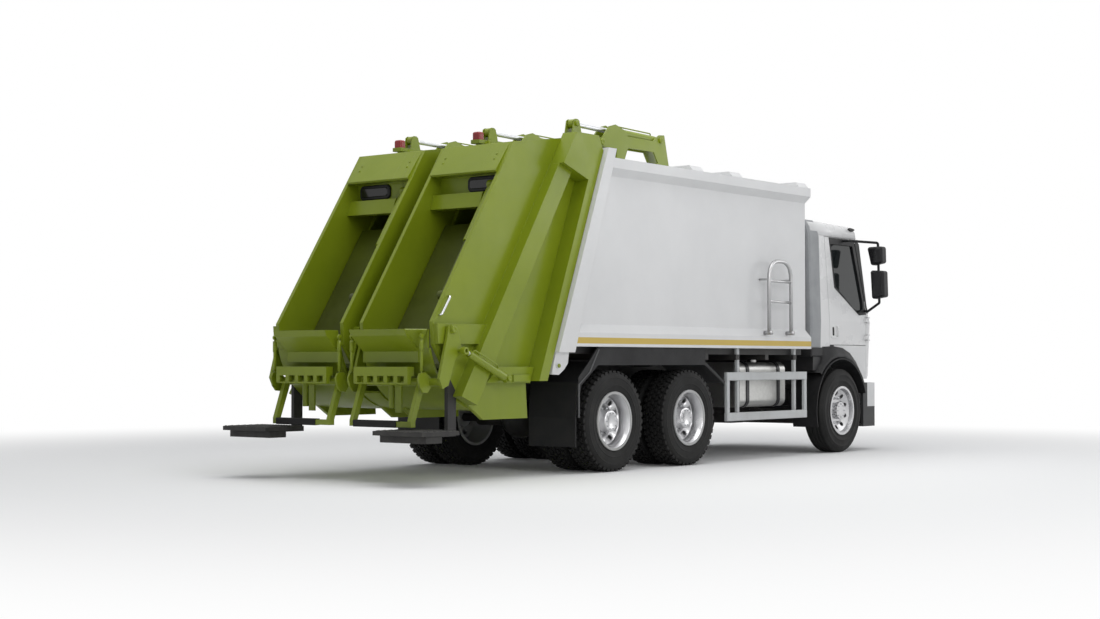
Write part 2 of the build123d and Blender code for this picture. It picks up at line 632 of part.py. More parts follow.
with BuildPart() as cab_floor:
    add(floor_form)
    block((-FAR, FAR), (-7000, 0), (CAB_FLOOR_TOP - CAB_FLOOR_T, CAB_FLOOR_TOP), mode=Mode.INTERSECT)
    block((-FAR, FAR), (-7000, DOOR_BELT_FRONT[0] - CAB_GAP), (0, 4000), mode=Mode.SUBTRACT)
    for sign in (1, -1):
        cross_tube(FRONT_AXLE, WHEEL_Z, ARCH_R, sign * 850, sign * FAR, mode=Mode.SUBTRACT)
    block((-TUNNEL_X, TUNNEL_X), (TUNNEL_FRONT, CAB_REAR - CAB_WALL), (CAB_FLOOR_TOP - 20, TUNNEL_TOP))
    hollow = (TUNNEL_FRONT + 40, CAB_REAR + 100)
    block((-TUNNEL_X + 40, TUNNEL_X - 40), hollow, (0, TUNNEL_TOP - 40), mode=Mode.SUBTRACT)
    add(cab_skirts.part)
    for sign in (1, -1):
        lug = (sign * (RAIL_X + 40), sign * (RAIL_X + 85))
        block(lug, (CAB_PIVOT[0] - 50, CAB_PIVOT[0] + 120), (CAB_PIVOT[1], CAB_FLOOR_TOP - CAB_FLOOR_T + 5))
        cross_tube(*CAB_PIVOT, 50, *lug)
        cross_tube(*CAB_PIVOT, CAB_PIN_R + RUNNING_GAP, *lug, mode=Mode.SUBTRACT)
save(cab_floor, "cab_floor")

# Seats and dashboard
SEAT_X = 680
with BuildPart() as seats:
    for seat_x in (SEAT_X, -SEAT_X):
        profile = [
            (-4890, CAB_FLOOR_TOP), (-4890, 1560), (-4980, 1600), (-4970, 1690), (-4560, 1660), (-4430, 2380),
            (-4330, 2360), (-4450, 1560), (-4500, CAB_FLOOR_TOP),
        ]
        plate(profile, seat_x - 240, seat_x + 240)
save(seats, "seats")

with BuildPart() as dashboard:
    profile = [
        (-5530, CAB_FLOOR_TOP), (-5530, 1400), (-5690, 1400), (-5690, 1640), (-5520, 1690), (-5330, 1640),
        (-5300, 1480), (-5440, 1450), (-5440, CAB_FLOOR_TOP),
    ]
    plate(profile, -1000, 1000)
    rod_between((-5380, 1560), (-5180, 1760), SEAT_X, 30)
    steering = Plane(origin=(SEAT_X, REAR_AXLE_Y - 5180, 1760), x_dir=(1, 0, 0), z_dir=(0, 1, 1))
    with BuildSketch(steering) as ring:
        Circle(225)
        Circle(195, mode=Mode.SUBTRACT)
        Rectangle(400, 40)
        Rectangle(40, 400)
    extrude(ring.sketch, amount=30)
save(dashboard, "dashboard")

MIRROR_X = 1450
MIRROR_Y = (-5380, -5240)
FOOT_GAP = 0.6
# Columns: x outward and z of a housing's corners
MIRROR_HOUSINGS = (
    ((1320, 2550), (1530, 2553), (1535, 2346), (1375, 2315)),
    ((1365, 2258), (1550, 2247), (1560, 1922), (1385, 1895)),
)


def cab_half(z):
    """The half width of the cab at a height."""
    for low, high in zip(CAB_SECTIONS, CAB_SECTIONS[1:]):
        if low[0] <= z <= high[0]:
            return low[1] + (high[1] - low[1]) * (z - low[0]) / (high[0] - low[0])


# Doors with their glass and mirrors, one of each on either side
for side, sign in SIDES:
    near, far = sorted((sign * 900, sign * FAR))
    with BuildPart() as door:
        add(cab_outer)
        add(cab_inner, mode=Mode.SUBTRACT)
        plate(door_outline(0), near, far, mode=Mode.INTERSECT)
        plate(WINDOW, near, far, mode=Mode.SUBTRACT)
        for hinge_z in DOOR_HINGE_Z:
            axis_x = sign * DOOR_HINGE_X
            height = (hinge_z - KNUCKLE_H / 2 + RUNNING_GAP, hinge_z + KNUCKLE_H / 2 - RUNNING_GAP)
            with Locations((axis_x, REAR_AXLE_Y + DOOR_HINGE_Y, hinge_z)):
                Cylinder(2 * DOOR_PIN_R, height[1] - height[0])
            strap_end = DOOR_BELT_FRONT[0] + 46
            block((sign * (DOOR_HINGE_X - 45), axis_x), (strap_end - 40, strap_end), height)
            block((axis_x - sign * 8, axis_x + sign * 8), (DOOR_HINGE_Y, strap_end), height)
            with Locations((axis_x, REAR_AXLE_Y + DOOR_HINGE_Y, hinge_z)):
                Cylinder(DOOR_PIN_R + RUNNING_GAP, KNUCKLE_H, mode=Mode.SUBTRACT)
    save(door, f"door_{side}")
    with BuildPart() as door_glass:
        add(glass_outer)
        add(glass_inner, mode=Mode.SUBTRACT)
        plate(WINDOW, near, far, mode=Mode.INTERSECT)
    save(door_glass, f"door_glass_{side}")
    with BuildPart() as mirror_unit:
        for housing in MIRROR_HOUSINGS:
            bar([(sign * x, z) for x, z in housing], *MIRROR_Y)
        fillet(mirror_unit.edges(), 30)
        with BuildLine() as arm:
            FilletPolyline(
                (sign * (cab_half(2620) + FOOT_GAP), REAR_AXLE_Y - 5000, 2620),
                (sign * (MIRROR_X - 250), REAR_AXLE_Y - 5000, 2620), (sign * MIRROR_X, REAR_AXLE_Y - 5300, 2600),
                (sign * MIRROR_X, REAR_AXLE_Y - 5330, 1850), (sign * (MIRROR_X - 240), REAR_AXLE_Y - 5490, 1755),
                (sign * (cab_half(1755) + FOOT_GAP), REAR_AXLE_Y - 5490, 1755), radius=24,
            )
        start = Plane(origin=arm.line @ 0, z_dir=arm.line % 0)
        with BuildSketch(start):
            Circle(16)
        sweep(path=arm.line)
    save(mirror_unit, f"mirror_{side}")

# Bumper: a bowed plate with wrapped ends and entry steps, headlamps set in its face
BUMPER_FRONT = -5880
BUMPER_T = 40
BUMPER_X = 1160
BUMPER_BACK = -5440
BUMPER_Z = (300, 850)
TREAD_X = 800
LAMP_X = (780, 960)
LAMP_Z = (560, 720)
LAMP_GAP = 2


def bumper_plan(inset):
    """The bumper's plan outline drawn in by inset, open at the back."""
    side = BUMPER_X - inset
    corner = (side - 150, BUMPER_FRONT + inset + 40)
    with BuildSketch(Plane(origin=(0, REAR_AXLE_Y, BUMPER_Z[0]))) as plan:
        with BuildLine():
            Polyline((-side, -5740), (-side, BUMPER_BACK), (side, BUMPER_BACK), (side, -5740))
            ThreePointArc((side, -5740), (side - 45, -5740 - 68 + inset / 2), corner)
            ThreePointArc(corner, (0, BUMPER_FRONT + inset), (-corner[0], corner[1]))
            ThreePointArc((-corner[0], corner[1]), (45 - side, -5740 - 68 + inset / 2), (-side, -5740))
        make_face()
    return plan.sketch


with BuildPart() as front_bumper:
    height = BUMPER_Z[1] - BUMPER_Z[0]
    extrude(bumper_plan(0), amount=height)
    extrude(bumper_plan(BUMPER_T), amount=height, mode=Mode.SUBTRACT)
    for sign in (1, -1):
        for tread_z in (BUMPER_Z[0], 560):
            block((sign * TREAD_X, sign * (BUMPER_X - BUMPER_T)), (-5740, BUMPER_BACK), (tread_z, tread_z + 30))
        block((sign * RAIL_X, sign * (BUMPER_X - BUMPER_T)), (-5600, -5540), (RAIL_BOTTOM - 20, RAIL_BOTTOM + 40))
        block((sign * LAMP_X[0], sign * LAMP_X[1]), (-6000, -5700), LAMP_Z, mode=Mode.SUBTRACT)
        block((sign * 980, sign * 1090), (-5700, -5660), (BUMPER_Z[0], RAIL_BOTTOM))
save(front_bumper, "front_bumper")

with BuildPart() as headlamps:
    for sign in (1, -1):
        lamp_x = (sign * (LAMP_X[0] + LAMP_GAP / 4), sign * (LAMP_X[1] - LAMP_GAP / 4))
        block(lamp_x, (BUMPER_FRONT + 30, -5790), (LAMP_Z[0] + LAMP_GAP / 4, LAMP_Z[1] - LAMP_GAP / 4))
save(headlamps, "headlamps")


def tyre_profile(centre_x):
    """A closed (x, radius) outline of one tyre."""
    half = TYRE_W / 2
    return [
        (centre_x - half + 20, RIM_SEAT_R + RUNNING_GAP), (centre_x + half - 20, RIM_SEAT_R + RUNNING_GAP),
        (centre_x + half, RIM_SEAT_R + 110), (centre_x + half - 12, TYRE_R - 30), (centre_x + half - 40, TYRE_R),
        (centre_x - half + 40, TYRE_R), (centre_x - half + 12, TYRE_R - 30), (centre_x - half, RIM_SEAT_R + 110),
    ]


def turn(outline, axle_y, mode=Mode.ADD):
    """Revolve an (x, radius) outline about an axle line across the truck."""
    wheel_plane = Plane(origin=(0, REAR_AXLE_Y + axle_y, WHEEL_Z), x_dir=(1, 0, 0), z_dir=(0, -1, 0))
    with BuildSketch(wheel_plane) as face:
        with BuildLine():
            Polyline(*outline, close=True)
        make_face()
    axis = Axis((0, REAR_AXLE_Y + axle_y, WHEEL_Z), (1, 0, 0))
    revolve(face.sketch, axis=axis, mode=mode)


BEAD_ROOM = 3


def rim_outline(centre_x, disc_x, sign):
    """A drop-centre rim with its wheel disc, as an (x, radius) outline.

    disc_x is the hub face of the disc and sign points out of the truck.
    """
    half = TYRE_W / 2 - 20
    outer = centre_x + sign * (half + BEAD_ROOM)
    inner_edge = centre_x - sign * (half + BEAD_ROOM)
    seat = RIM_SEAT_R
    return [
        (inner_edge, seat), (outer, seat), (outer, RIM_FLANGE_R), (outer + sign * RIM_FLANGE_W, RIM_FLANGE_R),
        (outer + sign * RIM_FLANGE_W, seat - 14), (disc_x + sign * 60, seat - 26), (disc_x + sign * DISC_T, 190),
        (disc_x + sign * DISC_T, SPINDLE_R + 20), (disc_x, SPINDLE_R + 20), (disc_x, 180),
        (disc_x + sign * 30, seat - 40), (inner_edge, seat - 14),
    ]


# Wheels: six bodies, each tyre set and rim set its own node
# Columns: name, axle position, tyre centres outward from the truck's centre, hub face
REAR_TYRES = (REAR_TYRE_X, REAR_TYRE_X - TWIN_SPACING)
REAR_HUB = REAR_TYRE_X - TWIN_SPACING / 2
WHEELS = (
    ("front", FRONT_AXLE, (FRONT_TYRE_X,), FRONT_TYRE_X + 30),
    ("middle", -AXLE_SPACING, REAR_TYRES, REAR_HUB),
    ("rear", 0, REAR_TYRES, REAR_HUB),
)
HAND_HOLES = 10
for name, axle_y, centres, hub_face in WHEELS:
    for side, sign in SIDES:
        with BuildPart() as tyre:
            for centre in centres:
                turn(tyre_profile(sign * centre), axle_y)
        save(tyre, f"tyre_{name}_{side}")
        with BuildPart() as rim:
            turn(rim_outline(sign * centres[0], sign * hub_face, sign), axle_y)
            if len(centres) > 1:
                turn(rim_outline(sign * centres[1], sign * hub_face, -sign), axle_y)
            hub_inner = hub_face - (140 if len(centres) > 1 else 110)
            hub_outer = hub_face + (190 if len(centres) > 1 else 90)
            cross_tube(axle_y, WHEEL_Z, HUB_R, sign * hub_inner, sign * hub_outer)
            cross_tube(
                axle_y, WHEEL_Z, SPINDLE_R + RUNNING_GAP, sign * (hub_inner - 10), sign * (hub_outer - 20),
                mode=Mode.SUBTRACT,
            )
            hole_start = (sign * (hub_face - 60), REAR_AXLE_Y + axle_y, WHEEL_Z)
            with BuildSketch(Plane(origin=hole_start, z_dir=(sign, 0, 0))) as holes:
                with PolarLocations(208, HAND_HOLES):
                    Circle(27)
            extrude(holes.sketch, amount=160, mode=Mode.SUBTRACT)
        save(rim, f"rim_{name}_{side}")

# Steering knuckles: king pin between two lugs, spindle and steering arm
for side, sign in SIDES:
    with BuildPart() as knuckle:
        boss = STEER_BOSS_H / 2
        with Locations((sign * KINGPIN_X, REAR_AXLE_Y + FRONT_AXLE, WHEEL_Z)):
            Cylinder(KINGPIN_R, STEER_BOSS_H + 90)
        lug_x = (sign * (KINGPIN_X - 45), sign * (KINGPIN_X + 95))
        for low in (WHEEL_Z - boss - 45, WHEEL_Z + boss + 5):
            block(lug_x, (FRONT_AXLE - 45, FRONT_AXLE + 45), (low, low + 40))
        upright = (WHEEL_Z - boss - 45, WHEEL_Z + boss + 45)
        block((sign * (KINGPIN_X + 70), sign * (KINGPIN_X + 100)), (FRONT_AXLE - 70, FRONT_AXLE + 70), upright)
        cross_tube(FRONT_AXLE, WHEEL_Z, SPINDLE_R, sign * (KINGPIN_X + 90), sign * (FRONT_TYRE_X + 90))
        block(
            (sign * (KINGPIN_X - 40), sign * (KINGPIN_X + 10)), (FRONT_AXLE, FRONT_AXLE + 260),
            (WHEEL_Z - boss - 45, WHEEL_Z - boss - 10),
        )
    save(knuckle, f"knuckle_{side}")


# Tailgate: flanged front frame, four hopper walls, troughs, headers and steps
def tail_outline(front):
    """The side outline of a hopper wall, starting a distance behind the seam."""
    return [
        (seam_y(2898, front), 2898), (seam_y(3290, front), 3290), WALL_FRONT_TOP, WALL_REAR_TOP, WALL_REAR_LOW,
        WALL_KNEE, WALL_HEEL, (1829, 571), (1167, 571), (seam_y(FRAME_BOTTOM, front), FRAME_BOTTOM),
    ]


def on_slope(s, t):
    """A (y, z) point on the slope of the hopper mouth: s down it, t out of it."""
    length = math.hypot(WALL_REAR_LOW[0] - WALL_REAR_TOP[0], WALL_REAR_LOW[1] - WALL_REAR_TOP[1])
    down = ((WALL_REAR_LOW[0] - WALL_REAR_TOP[0]) / length, (WALL_REAR_LOW[1] - WALL_REAR_TOP[1]) / length)
    return (PACK_ORIGIN[0] + s * down[0] - t * down[1], PACK_ORIGIN[1] + s * down[1] + t * down[0])


# Each packer cylinder hangs on the right-hand wall of its bay: the wall's face and the cylinder's own line
PACK_CYLINDERS = {
    "left": (CENTRE_GAP + HOPPER_WALL_T, CENTRE_GAP + HOPPER_WALL_T + PACK_SIDE),
    "right": (HOPPER_WALL_T - WALL_X, HOPPER_WALL_T - WALL_X + PACK_SIDE),
}
EAR_T = 12
POST_HALF = 95
BEACON_XS = (0, 1100)
BEACON_Y = 650
BEACON_W = 96
BEACON_H = 84
with BuildPart() as tailgate_frame:
    ring = [
        (seam_y(FRAME_BOTTOM, SEAM_GAP), FRAME_BOTTOM), (seam_y(FRAME_BOTTOM, SEAM_GAP + FLANGE_W), FRAME_BOTTOM),
        (seam_y(3260, SEAM_GAP + FLANGE_W), 3260), (seam_y(3260, SEAM_GAP), 3260),
    ]
    plate(ring, -FLANGE_X, FLANGE_X)
    block((-WALL_X, WALL_X), (-600, 2400), (1120, 3110), mode=Mode.SUBTRACT)
    shoulder = [
        (804, 3073), (600, 3400), (223, 3400), (seam_y(3250, SEAM_GAP), 3250), (seam_y(2898, SEAM_GAP), 2898),
    ]
    for sign in (1, -1):
        plate(shoulder, sign * WALL_X, sign * FLANGE_X)
    for shelf_x in BEACON_XS:
        shelf = (shelf_x - BEACON_W / 2 - 10, shelf_x + BEACON_W / 2 + 10)
        block(shelf, (580, BEACON_Y + BEACON_W), (3360, 3400))
    eye_y, eye_z = LIFT_EYE
    ear = [
        (eye_y - 89, 3380), (eye_y - 46, eye_z + 30), (eye_y - 20, eye_z + 46), (eye_y + 20, eye_z + 46),
        (eye_y + 46, eye_z + 30), (eye_y + 75, 3380),
    ]
    pedestal = [
        (seam_y(3180, SEAM_GAP), 3180), (seam_y(3180, SEAM_GAP + FLANGE_W), 3180), (700, 3230), (600, 3400),
        (223, 3400), (seam_y(3250, SEAM_GAP), 3250),
    ]
    plate(pedestal, -POST_HALF, POST_HALF)
    lug = [(seam_y(3200, SEAM_GAP), 3200), (300, 3200), (300, 3390), (HINGE[0], HINGE[1] + 2 * HINGE_PIN_R), HINGE]
    for lift_x in LIFT_XS:
        for face in (-1, 1):
            edge = lift_x + face * (EYE_W / 2 + EYE_SIDE_GAP)
            plate(ear, edge, edge + face * EAR_T)
        lug_span = (lift_x - HINGE_LUG_W / 2, lift_x + HINGE_LUG_W / 2)
        plate(lug, *lug_span)
        cross_tube(*HINGE, 2 * HINGE_PIN_R, *lug_span)
        cross_tube(*HINGE, HINGE_PIN_R + RUNNING_GAP, *lug_span, mode=Mode.SUBTRACT)
save(tailgate_frame, "tailgate_frame")

with BuildPart() as beacons:
    for beacon_x in BEACON_XS:
        beacon_span = (beacon_x - BEACON_W / 2, beacon_x + BEACON_W / 2)
        block(beacon_span, (BEACON_Y, BEACON_Y + BEACON_W - 6), (3400, 3400 + BEACON_H))
    upper = beacons.edges().filter_by(lambda edge: edge.center().Z > 3400 + 1)
    fillet(upper, 22)
save(beacons, "beacons")

with BuildPart() as hopper_walls:
    behind_frame = SEAM_GAP + FLANGE_W
    plate(tail_outline(behind_frame), WALL_X - HOPPER_WALL_T, WALL_X)
    plate(tail_outline(behind_frame), CENTRE_GAP, CENTRE_GAP + HOPPER_WALL_T)
    post = [(804, 3073), (600, 3003.7), (2040, 713), (2260, 799)]
    plate(post, WALL_X, POST_X)
    doubler = [(1789, 1465), (WALL_REAR_LOW[0] - 10, 1465), (2515, 1280), (1922, 1280)]
    plate(doubler, WALL_X, PLATE_X)
    cross_tube(*BIN_PIVOT, PIVOT_R, WALL_X, PLATE_X + ARM_GAP + BIN_ARM_T + 8)
    cross_tube(*BIN_PIVOT, PIVOT_R, CENTRE_GAP - 100, CENTRE_GAP)
    cross_tube(*TIPPER_PIN, 24, WALL_X, TIPPER_X + 30)
    rail_box = [(1683, 1067), (1150, 1067), (1212, 911), (1859, 920)]
    plate(rail_box, WALL_X, POST_X - 40)
    block((POST_X - 40, POST_X - 20), (1230, 1484), (925, 991))
    guide = [
        on_slope(-PACK_STROKE, -GUIDE_T), on_slope(-PACK_STROKE, -RUNNING_GAP), on_slope(1150, -RUNNING_GAP),
        on_slope(1150, -GUIDE_T),
    ]
    plate(guide, WALL_X - HOPPER_WALL_T - GUIDE_W, WALL_X - HOPPER_WALL_T)
    plate(guide, CENTRE_GAP + HOPPER_WALL_T, CENTRE_GAP + HOPPER_WALL_T + GUIDE_W)
    mirror(about=Plane.YZ)
    for face_x, barrel_x in PACK_CYLINDERS.values():
        low, high = PACK_BARREL
        rod_between(on_slope(low, PACK_ROD_T), on_slope(high, PACK_ROD_T), barrel_x, PACK_BARREL_R)
        rod_between(
            on_slope(low + 40, PACK_ROD_T), on_slope(high + 1, PACK_ROD_T), barrel_x, PACK_ROD_R + RUNNING_GAP,
            mode=Mode.SUBTRACT,
        )
        cross_tube(*on_slope(low, PACK_ROD_T), PACK_EYE_R, barrel_x - 40, barrel_x + 40)
        cross_tube(*on_slope(low, PACK_ROD_T), 26, face_x, barrel_x)
        clamp = [
            on_slope(high - 120, PACK_ROD_T - 30), on_slope(high - 120, PACK_ROD_T + 30),
            on_slope(high - 40, PACK_ROD_T + 30), on_slope(high - 40, PACK_ROD_T - 30),
        ]
        plate(clamp, face_x, barrel_x + math.copysign(30, face_x - barrel_x))
save(hopper_walls, "hopper_walls")

# Grab handles: a bent tube on each outer wall near its rear edge
HANDLE_X = 1062
HANDLE = ((2331, 1716), (2453, 1544))
with BuildPart() as grab_handles:
    (high_y, high_z), (low_y, low_z) = HANDLE
    with BuildLine() as grip:
        FilletPolyline(
            (WALL_X, REAR_AXLE_Y + high_y, high_z), (HANDLE_X, REAR_AXLE_Y + high_y, high_z),
            (HANDLE_X, REAR_AXLE_Y + low_y, low_z), (WALL_X, REAR_AXLE_Y + low_y, low_z), radius=18,
        )
    with BuildSketch(Plane(origin=grip.line @ 0, z_dir=grip.line % 0)):
        Circle(11)
    sweep(path=grip.line)
    mirror(about=Plane.YZ)
save(grab_handles, "grab_handles")


def trough_point(angle, radius):
    """A (y, z) point of the trough at an angle from straight back."""
    turn_angle = math.radians(angle)
    return (TROUGH_CENTRE[0] + radius * math.cos(turn_angle), TROUGH_CENTRE[1] + radius * math.sin(turn_angle))


def ahead_of_frame():
    """Everything ahead of the back of the tailgate's front frame, as a side outline."""
    back = SEAM_GAP + FLANGE_W + RUNNING_GAP
    return [(seam_y(500, back), 500), (seam_y(3500, back), 3500), (-900, 3500), (-900, 500)]


TROUGH_ENDS = (-155, -14)
CENTRE_END = -52
BAYS = ((CENTRE_GAP + HOPPER_WALL_T, WALL_X - HOPPER_WALL_T), (-CENTRE_GAP, CENTRE_GAP))
LIP_X = (160, 860)
GUSSET_T = 14
with BuildPart() as hopper_floors:
    inside, outside = TROUGH_R, TROUGH_R + TROUGH_T
    start_a, sill_a = TROUGH_ENDS
    for x_from, x_to, end_a in ((*BAYS[0], sill_a), (*BAYS[1], CENTRE_END), (-BAYS[0][1], -BAYS[0][0], sill_a)):
        middle_a = (start_a + end_a) / 2
        with BuildSketch(SIDE_PLANE.offset(x_from)) as section:
            with BuildLine():
                upper = [trough_point(angle, inside) for angle in (start_a, middle_a, end_a)]
                lower = [trough_point(angle, outside) for angle in (end_a, middle_a, start_a)]
                ThreePointArc(*upper)
                Line(upper[-1], lower[0])
                ThreePointArc(*lower)
                Line(lower[-1], upper[0])
            make_face()
        extrude(section.sketch, amount=x_to - x_from)
    plate(ahead_of_frame(), -WALL_X, WALL_X, mode=Mode.SUBTRACT)
    lip_low = trough_point(sill_a, inside + 2)
    lip = [
        lip_low, (LIP_TIP[0] - 12, LIP_TIP[1]), LIP_TIP, (LIP_TIP[0] - 30, LIP_TIP[1] - 60),
        (lip_low[0] + 24, lip_low[1] - 30), (lip_low[0] + 24, 1110), (lip_low[0] - 6, 1110),
    ]
    gusset = [lip_low, (LIP_TIP[0] - 12, LIP_TIP[1]), (lip_low[0] + 34, LIP_TIP[1])]
    flare_x = WALL_X - HOPPER_WALL_T - 12
    tip_end = (LIP_X[1] - 4, LIP_TIP[0] - 10, LIP_TIP[1] - 4)
    wall_end = (flare_x, lip_low[0] + 34, LIP_TIP[1] - 4)
    low_end = (LIP_X[1] - 4, lip_low[0] + 8, lip_low[1] - 4)
    for sign in (1, -1):
        plate(lip, sign * LIP_X[0], sign * LIP_X[1])
        plate(gusset, sign * LIP_X[0], sign * (LIP_X[0] + GUSSET_T))
        corner_plate([(sign * x, y, z) for x, y, z in (tip_end, wall_end, low_end)], GUSSET_T)
        infill = [(low_end[0], low_end[2]), (flare_x, low_end[2]), (flare_x, wall_end[2])]
        bar([(sign * x, z) for x, z in infill], lip_low[0] + 8, lip_low[0] + 28)
save(hopper_floors, "hopper_floors")

with BuildPart() as hopper_headers:
    x_from, x_to = BAYS[0]
    roof_low = 26
    header = [
        (WALL_FRONT_TOP[0], WALL_FRONT_TOP[1]), (WALL_FRONT_TOP[0], WALL_FRONT_TOP[1] - roof_low),
        (1340, 3214), (1570, 2935), (1530, 2890), (1640, 2740), (1720, 2595), (1790, 2595), (1735, 2725),
        (1700, 2770), (1600, 2900), (1605, 2947), WALL_REAR_TOP,
    ]
    plate(header, x_from, x_to)
    mirror(about=Plane.YZ)
save(hopper_headers, "hopper_headers")


def wall_low(y):
    """The height of the hopper wall's sloped lower edge."""
    return WALL_HEEL[1] + (WALL_KNEE[1] - WALL_HEEL[1]) * (y - WALL_HEEL[0]) / (WALL_KNEE[0] - WALL_HEEL[0])


STEP_X = (700, 1300)
STEP_Y = (2475, 2975)
STEP_TOP = 495
STEP_POST = (2215, 2330)
with BuildPart() as rear_steps:
    front, back = STEP_POST
    post = [(front, STEP_TOP - 65), (back, STEP_TOP - 65), (back, wall_low(back)), (front, wall_low(front))]
    plate(post, WALL_X - HOPPER_WALL_T, WALL_X)
    block((WALL_X - 60, WALL_X), (front, STEP_Y[0] + 60), (STEP_TOP - 65, STEP_TOP - 30))
    block(STEP_X, STEP_Y, (STEP_TOP - 40, STEP_TOP))
    block((STEP_X[0] + 20, STEP_X[1] - 20), (2690, 2900), (STEP_TOP - 105, STEP_TOP - 40))
    mirror(about=Plane.YZ)
save(rear_steps, "rear_steps")

# Packers: a plate with a scoop sliding on its guides, pulled by one rod in each bay
# Columns: s, t
SCOOP = (
    (0, 0), (1540, 0), (1680, 45), (1735, 130), (1690, 140), (1640, 90), (1520, PACK_PANEL_T), (0, PACK_PANEL_T),
)
for side, sign in SIDES:
    near, far = sorted((sign * (BAYS[0][0] + PACK_CLEAR), sign * (BAYS[0][1] - PACK_CLEAR)))
    rod_x = PACK_CYLINDERS[side][1]
    with BuildPart() as packer:
        plate([on_slope(s, t) for s, t in SCOOP], near, far)
        arm = [
            on_slope(PACK_ROD_END - 180, PACK_PANEL_T), on_slope(PACK_ROD_END - 40, PACK_ROD_T - 20),
            on_slope(PACK_ROD_END + 40, PACK_ROD_T - 20), on_slope(PACK_ROD_END + 260, PACK_PANEL_T),
        ]
        plate(arm, rod_x - PACK_ARM_T / 2, rod_x + PACK_ARM_T / 2)
        cross_tube(*on_slope(PACK_ROD_END, PACK_ROD_T), PACK_EYE_R, rod_x - 30, rod_x + 30)
        rod_between(
            on_slope(PACK_BARREL[1] - 60, PACK_ROD_T), on_slope(PACK_ROD_END, PACK_ROD_T), rod_x, PACK_ROD_R,
        )
    save(packer, f"packer_{side}")

# Bin lifts: two arms, a cross tube, a comb with teeth, hooked link rods and a padded stop frame
BIN_ARM = [
    (2300, 1440), (2420, 1440), (2440, 1330), (2545, 960), (2500, 870), (2420, 900), (2330, 1130), (2240, 1190),
    (2240, 1250),
]
BIN_HOOK = [
    (2480, 960), (2570, 1020), (2645, 1010), (2668, 960), (2645, 885), (2600, 835), (2540, 830), (2490, 890),
]
BIN_TUBE = (2490, 930)
STOP_LEG = [(2490, 940), (2560, 940), (2690, 575), (2690, 520), (2630, 520), (2630, 570)]
STOP_X = (130, 905)
STOP_T = 45
COMB_X = (180, 860)
COMB_Y = (2600, 2690)
COMB_Z = (985, 1070)
LINK_Y = 2615
LINK_Z = (1000, 1350)
LINK_R = 10
LINK_XS = (CENTRE_GAP - 28, WALL_X - HOPPER_WALL_T - 27)
BAY_MIDDLE = 570
TEETH = 6
TOOTH_W = 45
TOOTH_H = 60
for side, sign in SIDES:
    arm_x = PLATE_X + ARM_GAP
    inner_x = CENTRE_GAP - 65
    with BuildPart() as bin_lift:
        plate(BIN_ARM, sign * arm_x, sign * (arm_x + BIN_ARM_T))
        plate(BIN_ARM, sign * inner_x, sign * (inner_x - BIN_ARM_T))
        for x_from, x_to in ((arm_x - 1, arm_x + BIN_ARM_T + 1), (inner_x - BIN_ARM_T - 1, inner_x + 1)):
            cross_tube(*BIN_PIVOT, PIVOT_R + RUNNING_GAP, sign * x_from, sign * x_to, mode=Mode.SUBTRACT)
        cross_tube(*BIN_EAR, 18, sign * arm_x, sign * (TIPPER_X - 30))
        cross_tube(*BIN_TUBE, 38, sign * inner_x, sign * arm_x)
        comb_x = (sign * COMB_X[0], sign * COMB_X[1])
        block(comb_x, COMB_Y, COMB_Z)
        block((sign * 300, sign * 740), (2500, COMB_Y[0] + 20), (940, 1000))
        tooth_pitch = (COMB_X[1] - COMB_X[0] - TOOTH_W) / (TEETH - 1)
        for tooth in range(TEETH):
            tooth_x = COMB_X[0] + tooth * tooth_pitch
            tooth_span = (sign * tooth_x, sign * (tooth_x + TOOTH_W))
            block(tooth_span, (COMB_Y[1] - 50, COMB_Y[1]), (COMB_Z[0] - TOOTH_H, COMB_Z[0]))
        block(comb_x, (COMB_Y[1] - 46, COMB_Y[1] - 4), (COMB_Z[0] - TOOTH_H - 14, COMB_Z[0] - TOOTH_H))
        for link_x in LINK_XS:
            plate(BIN_HOOK, sign * (link_x - LINK_R), sign * (link_x + LINK_R))
            rod_between((LINK_Y, LINK_Z[0]), (LINK_Y, LINK_Z[1]), sign * link_x, LINK_R - 1)
            cross_tube(LINK_Y, LINK_Z[1], 22, sign * (link_x - LINK_R), sign * (link_x + LINK_R))
        stay_x = sign * BAY_MIDDLE
        block((stay_x - 36, stay_x + 36), (2478, 2502), (645, BIN_TUBE[1]))
        rod_between((BIN_TUBE[0], 685), BIN_TUBE, stay_x + 90, 30)
        for leg_x in (STOP_X[0], STOP_X[1] - STOP_T):
            plate(STOP_LEG, sign * leg_x, sign * (leg_x + STOP_T))
        block((sign * STOP_X[0], sign * STOP_X[1]), (2630, 2690), (520, 570))
    save(bin_lift, f"bin_lift_{side}")

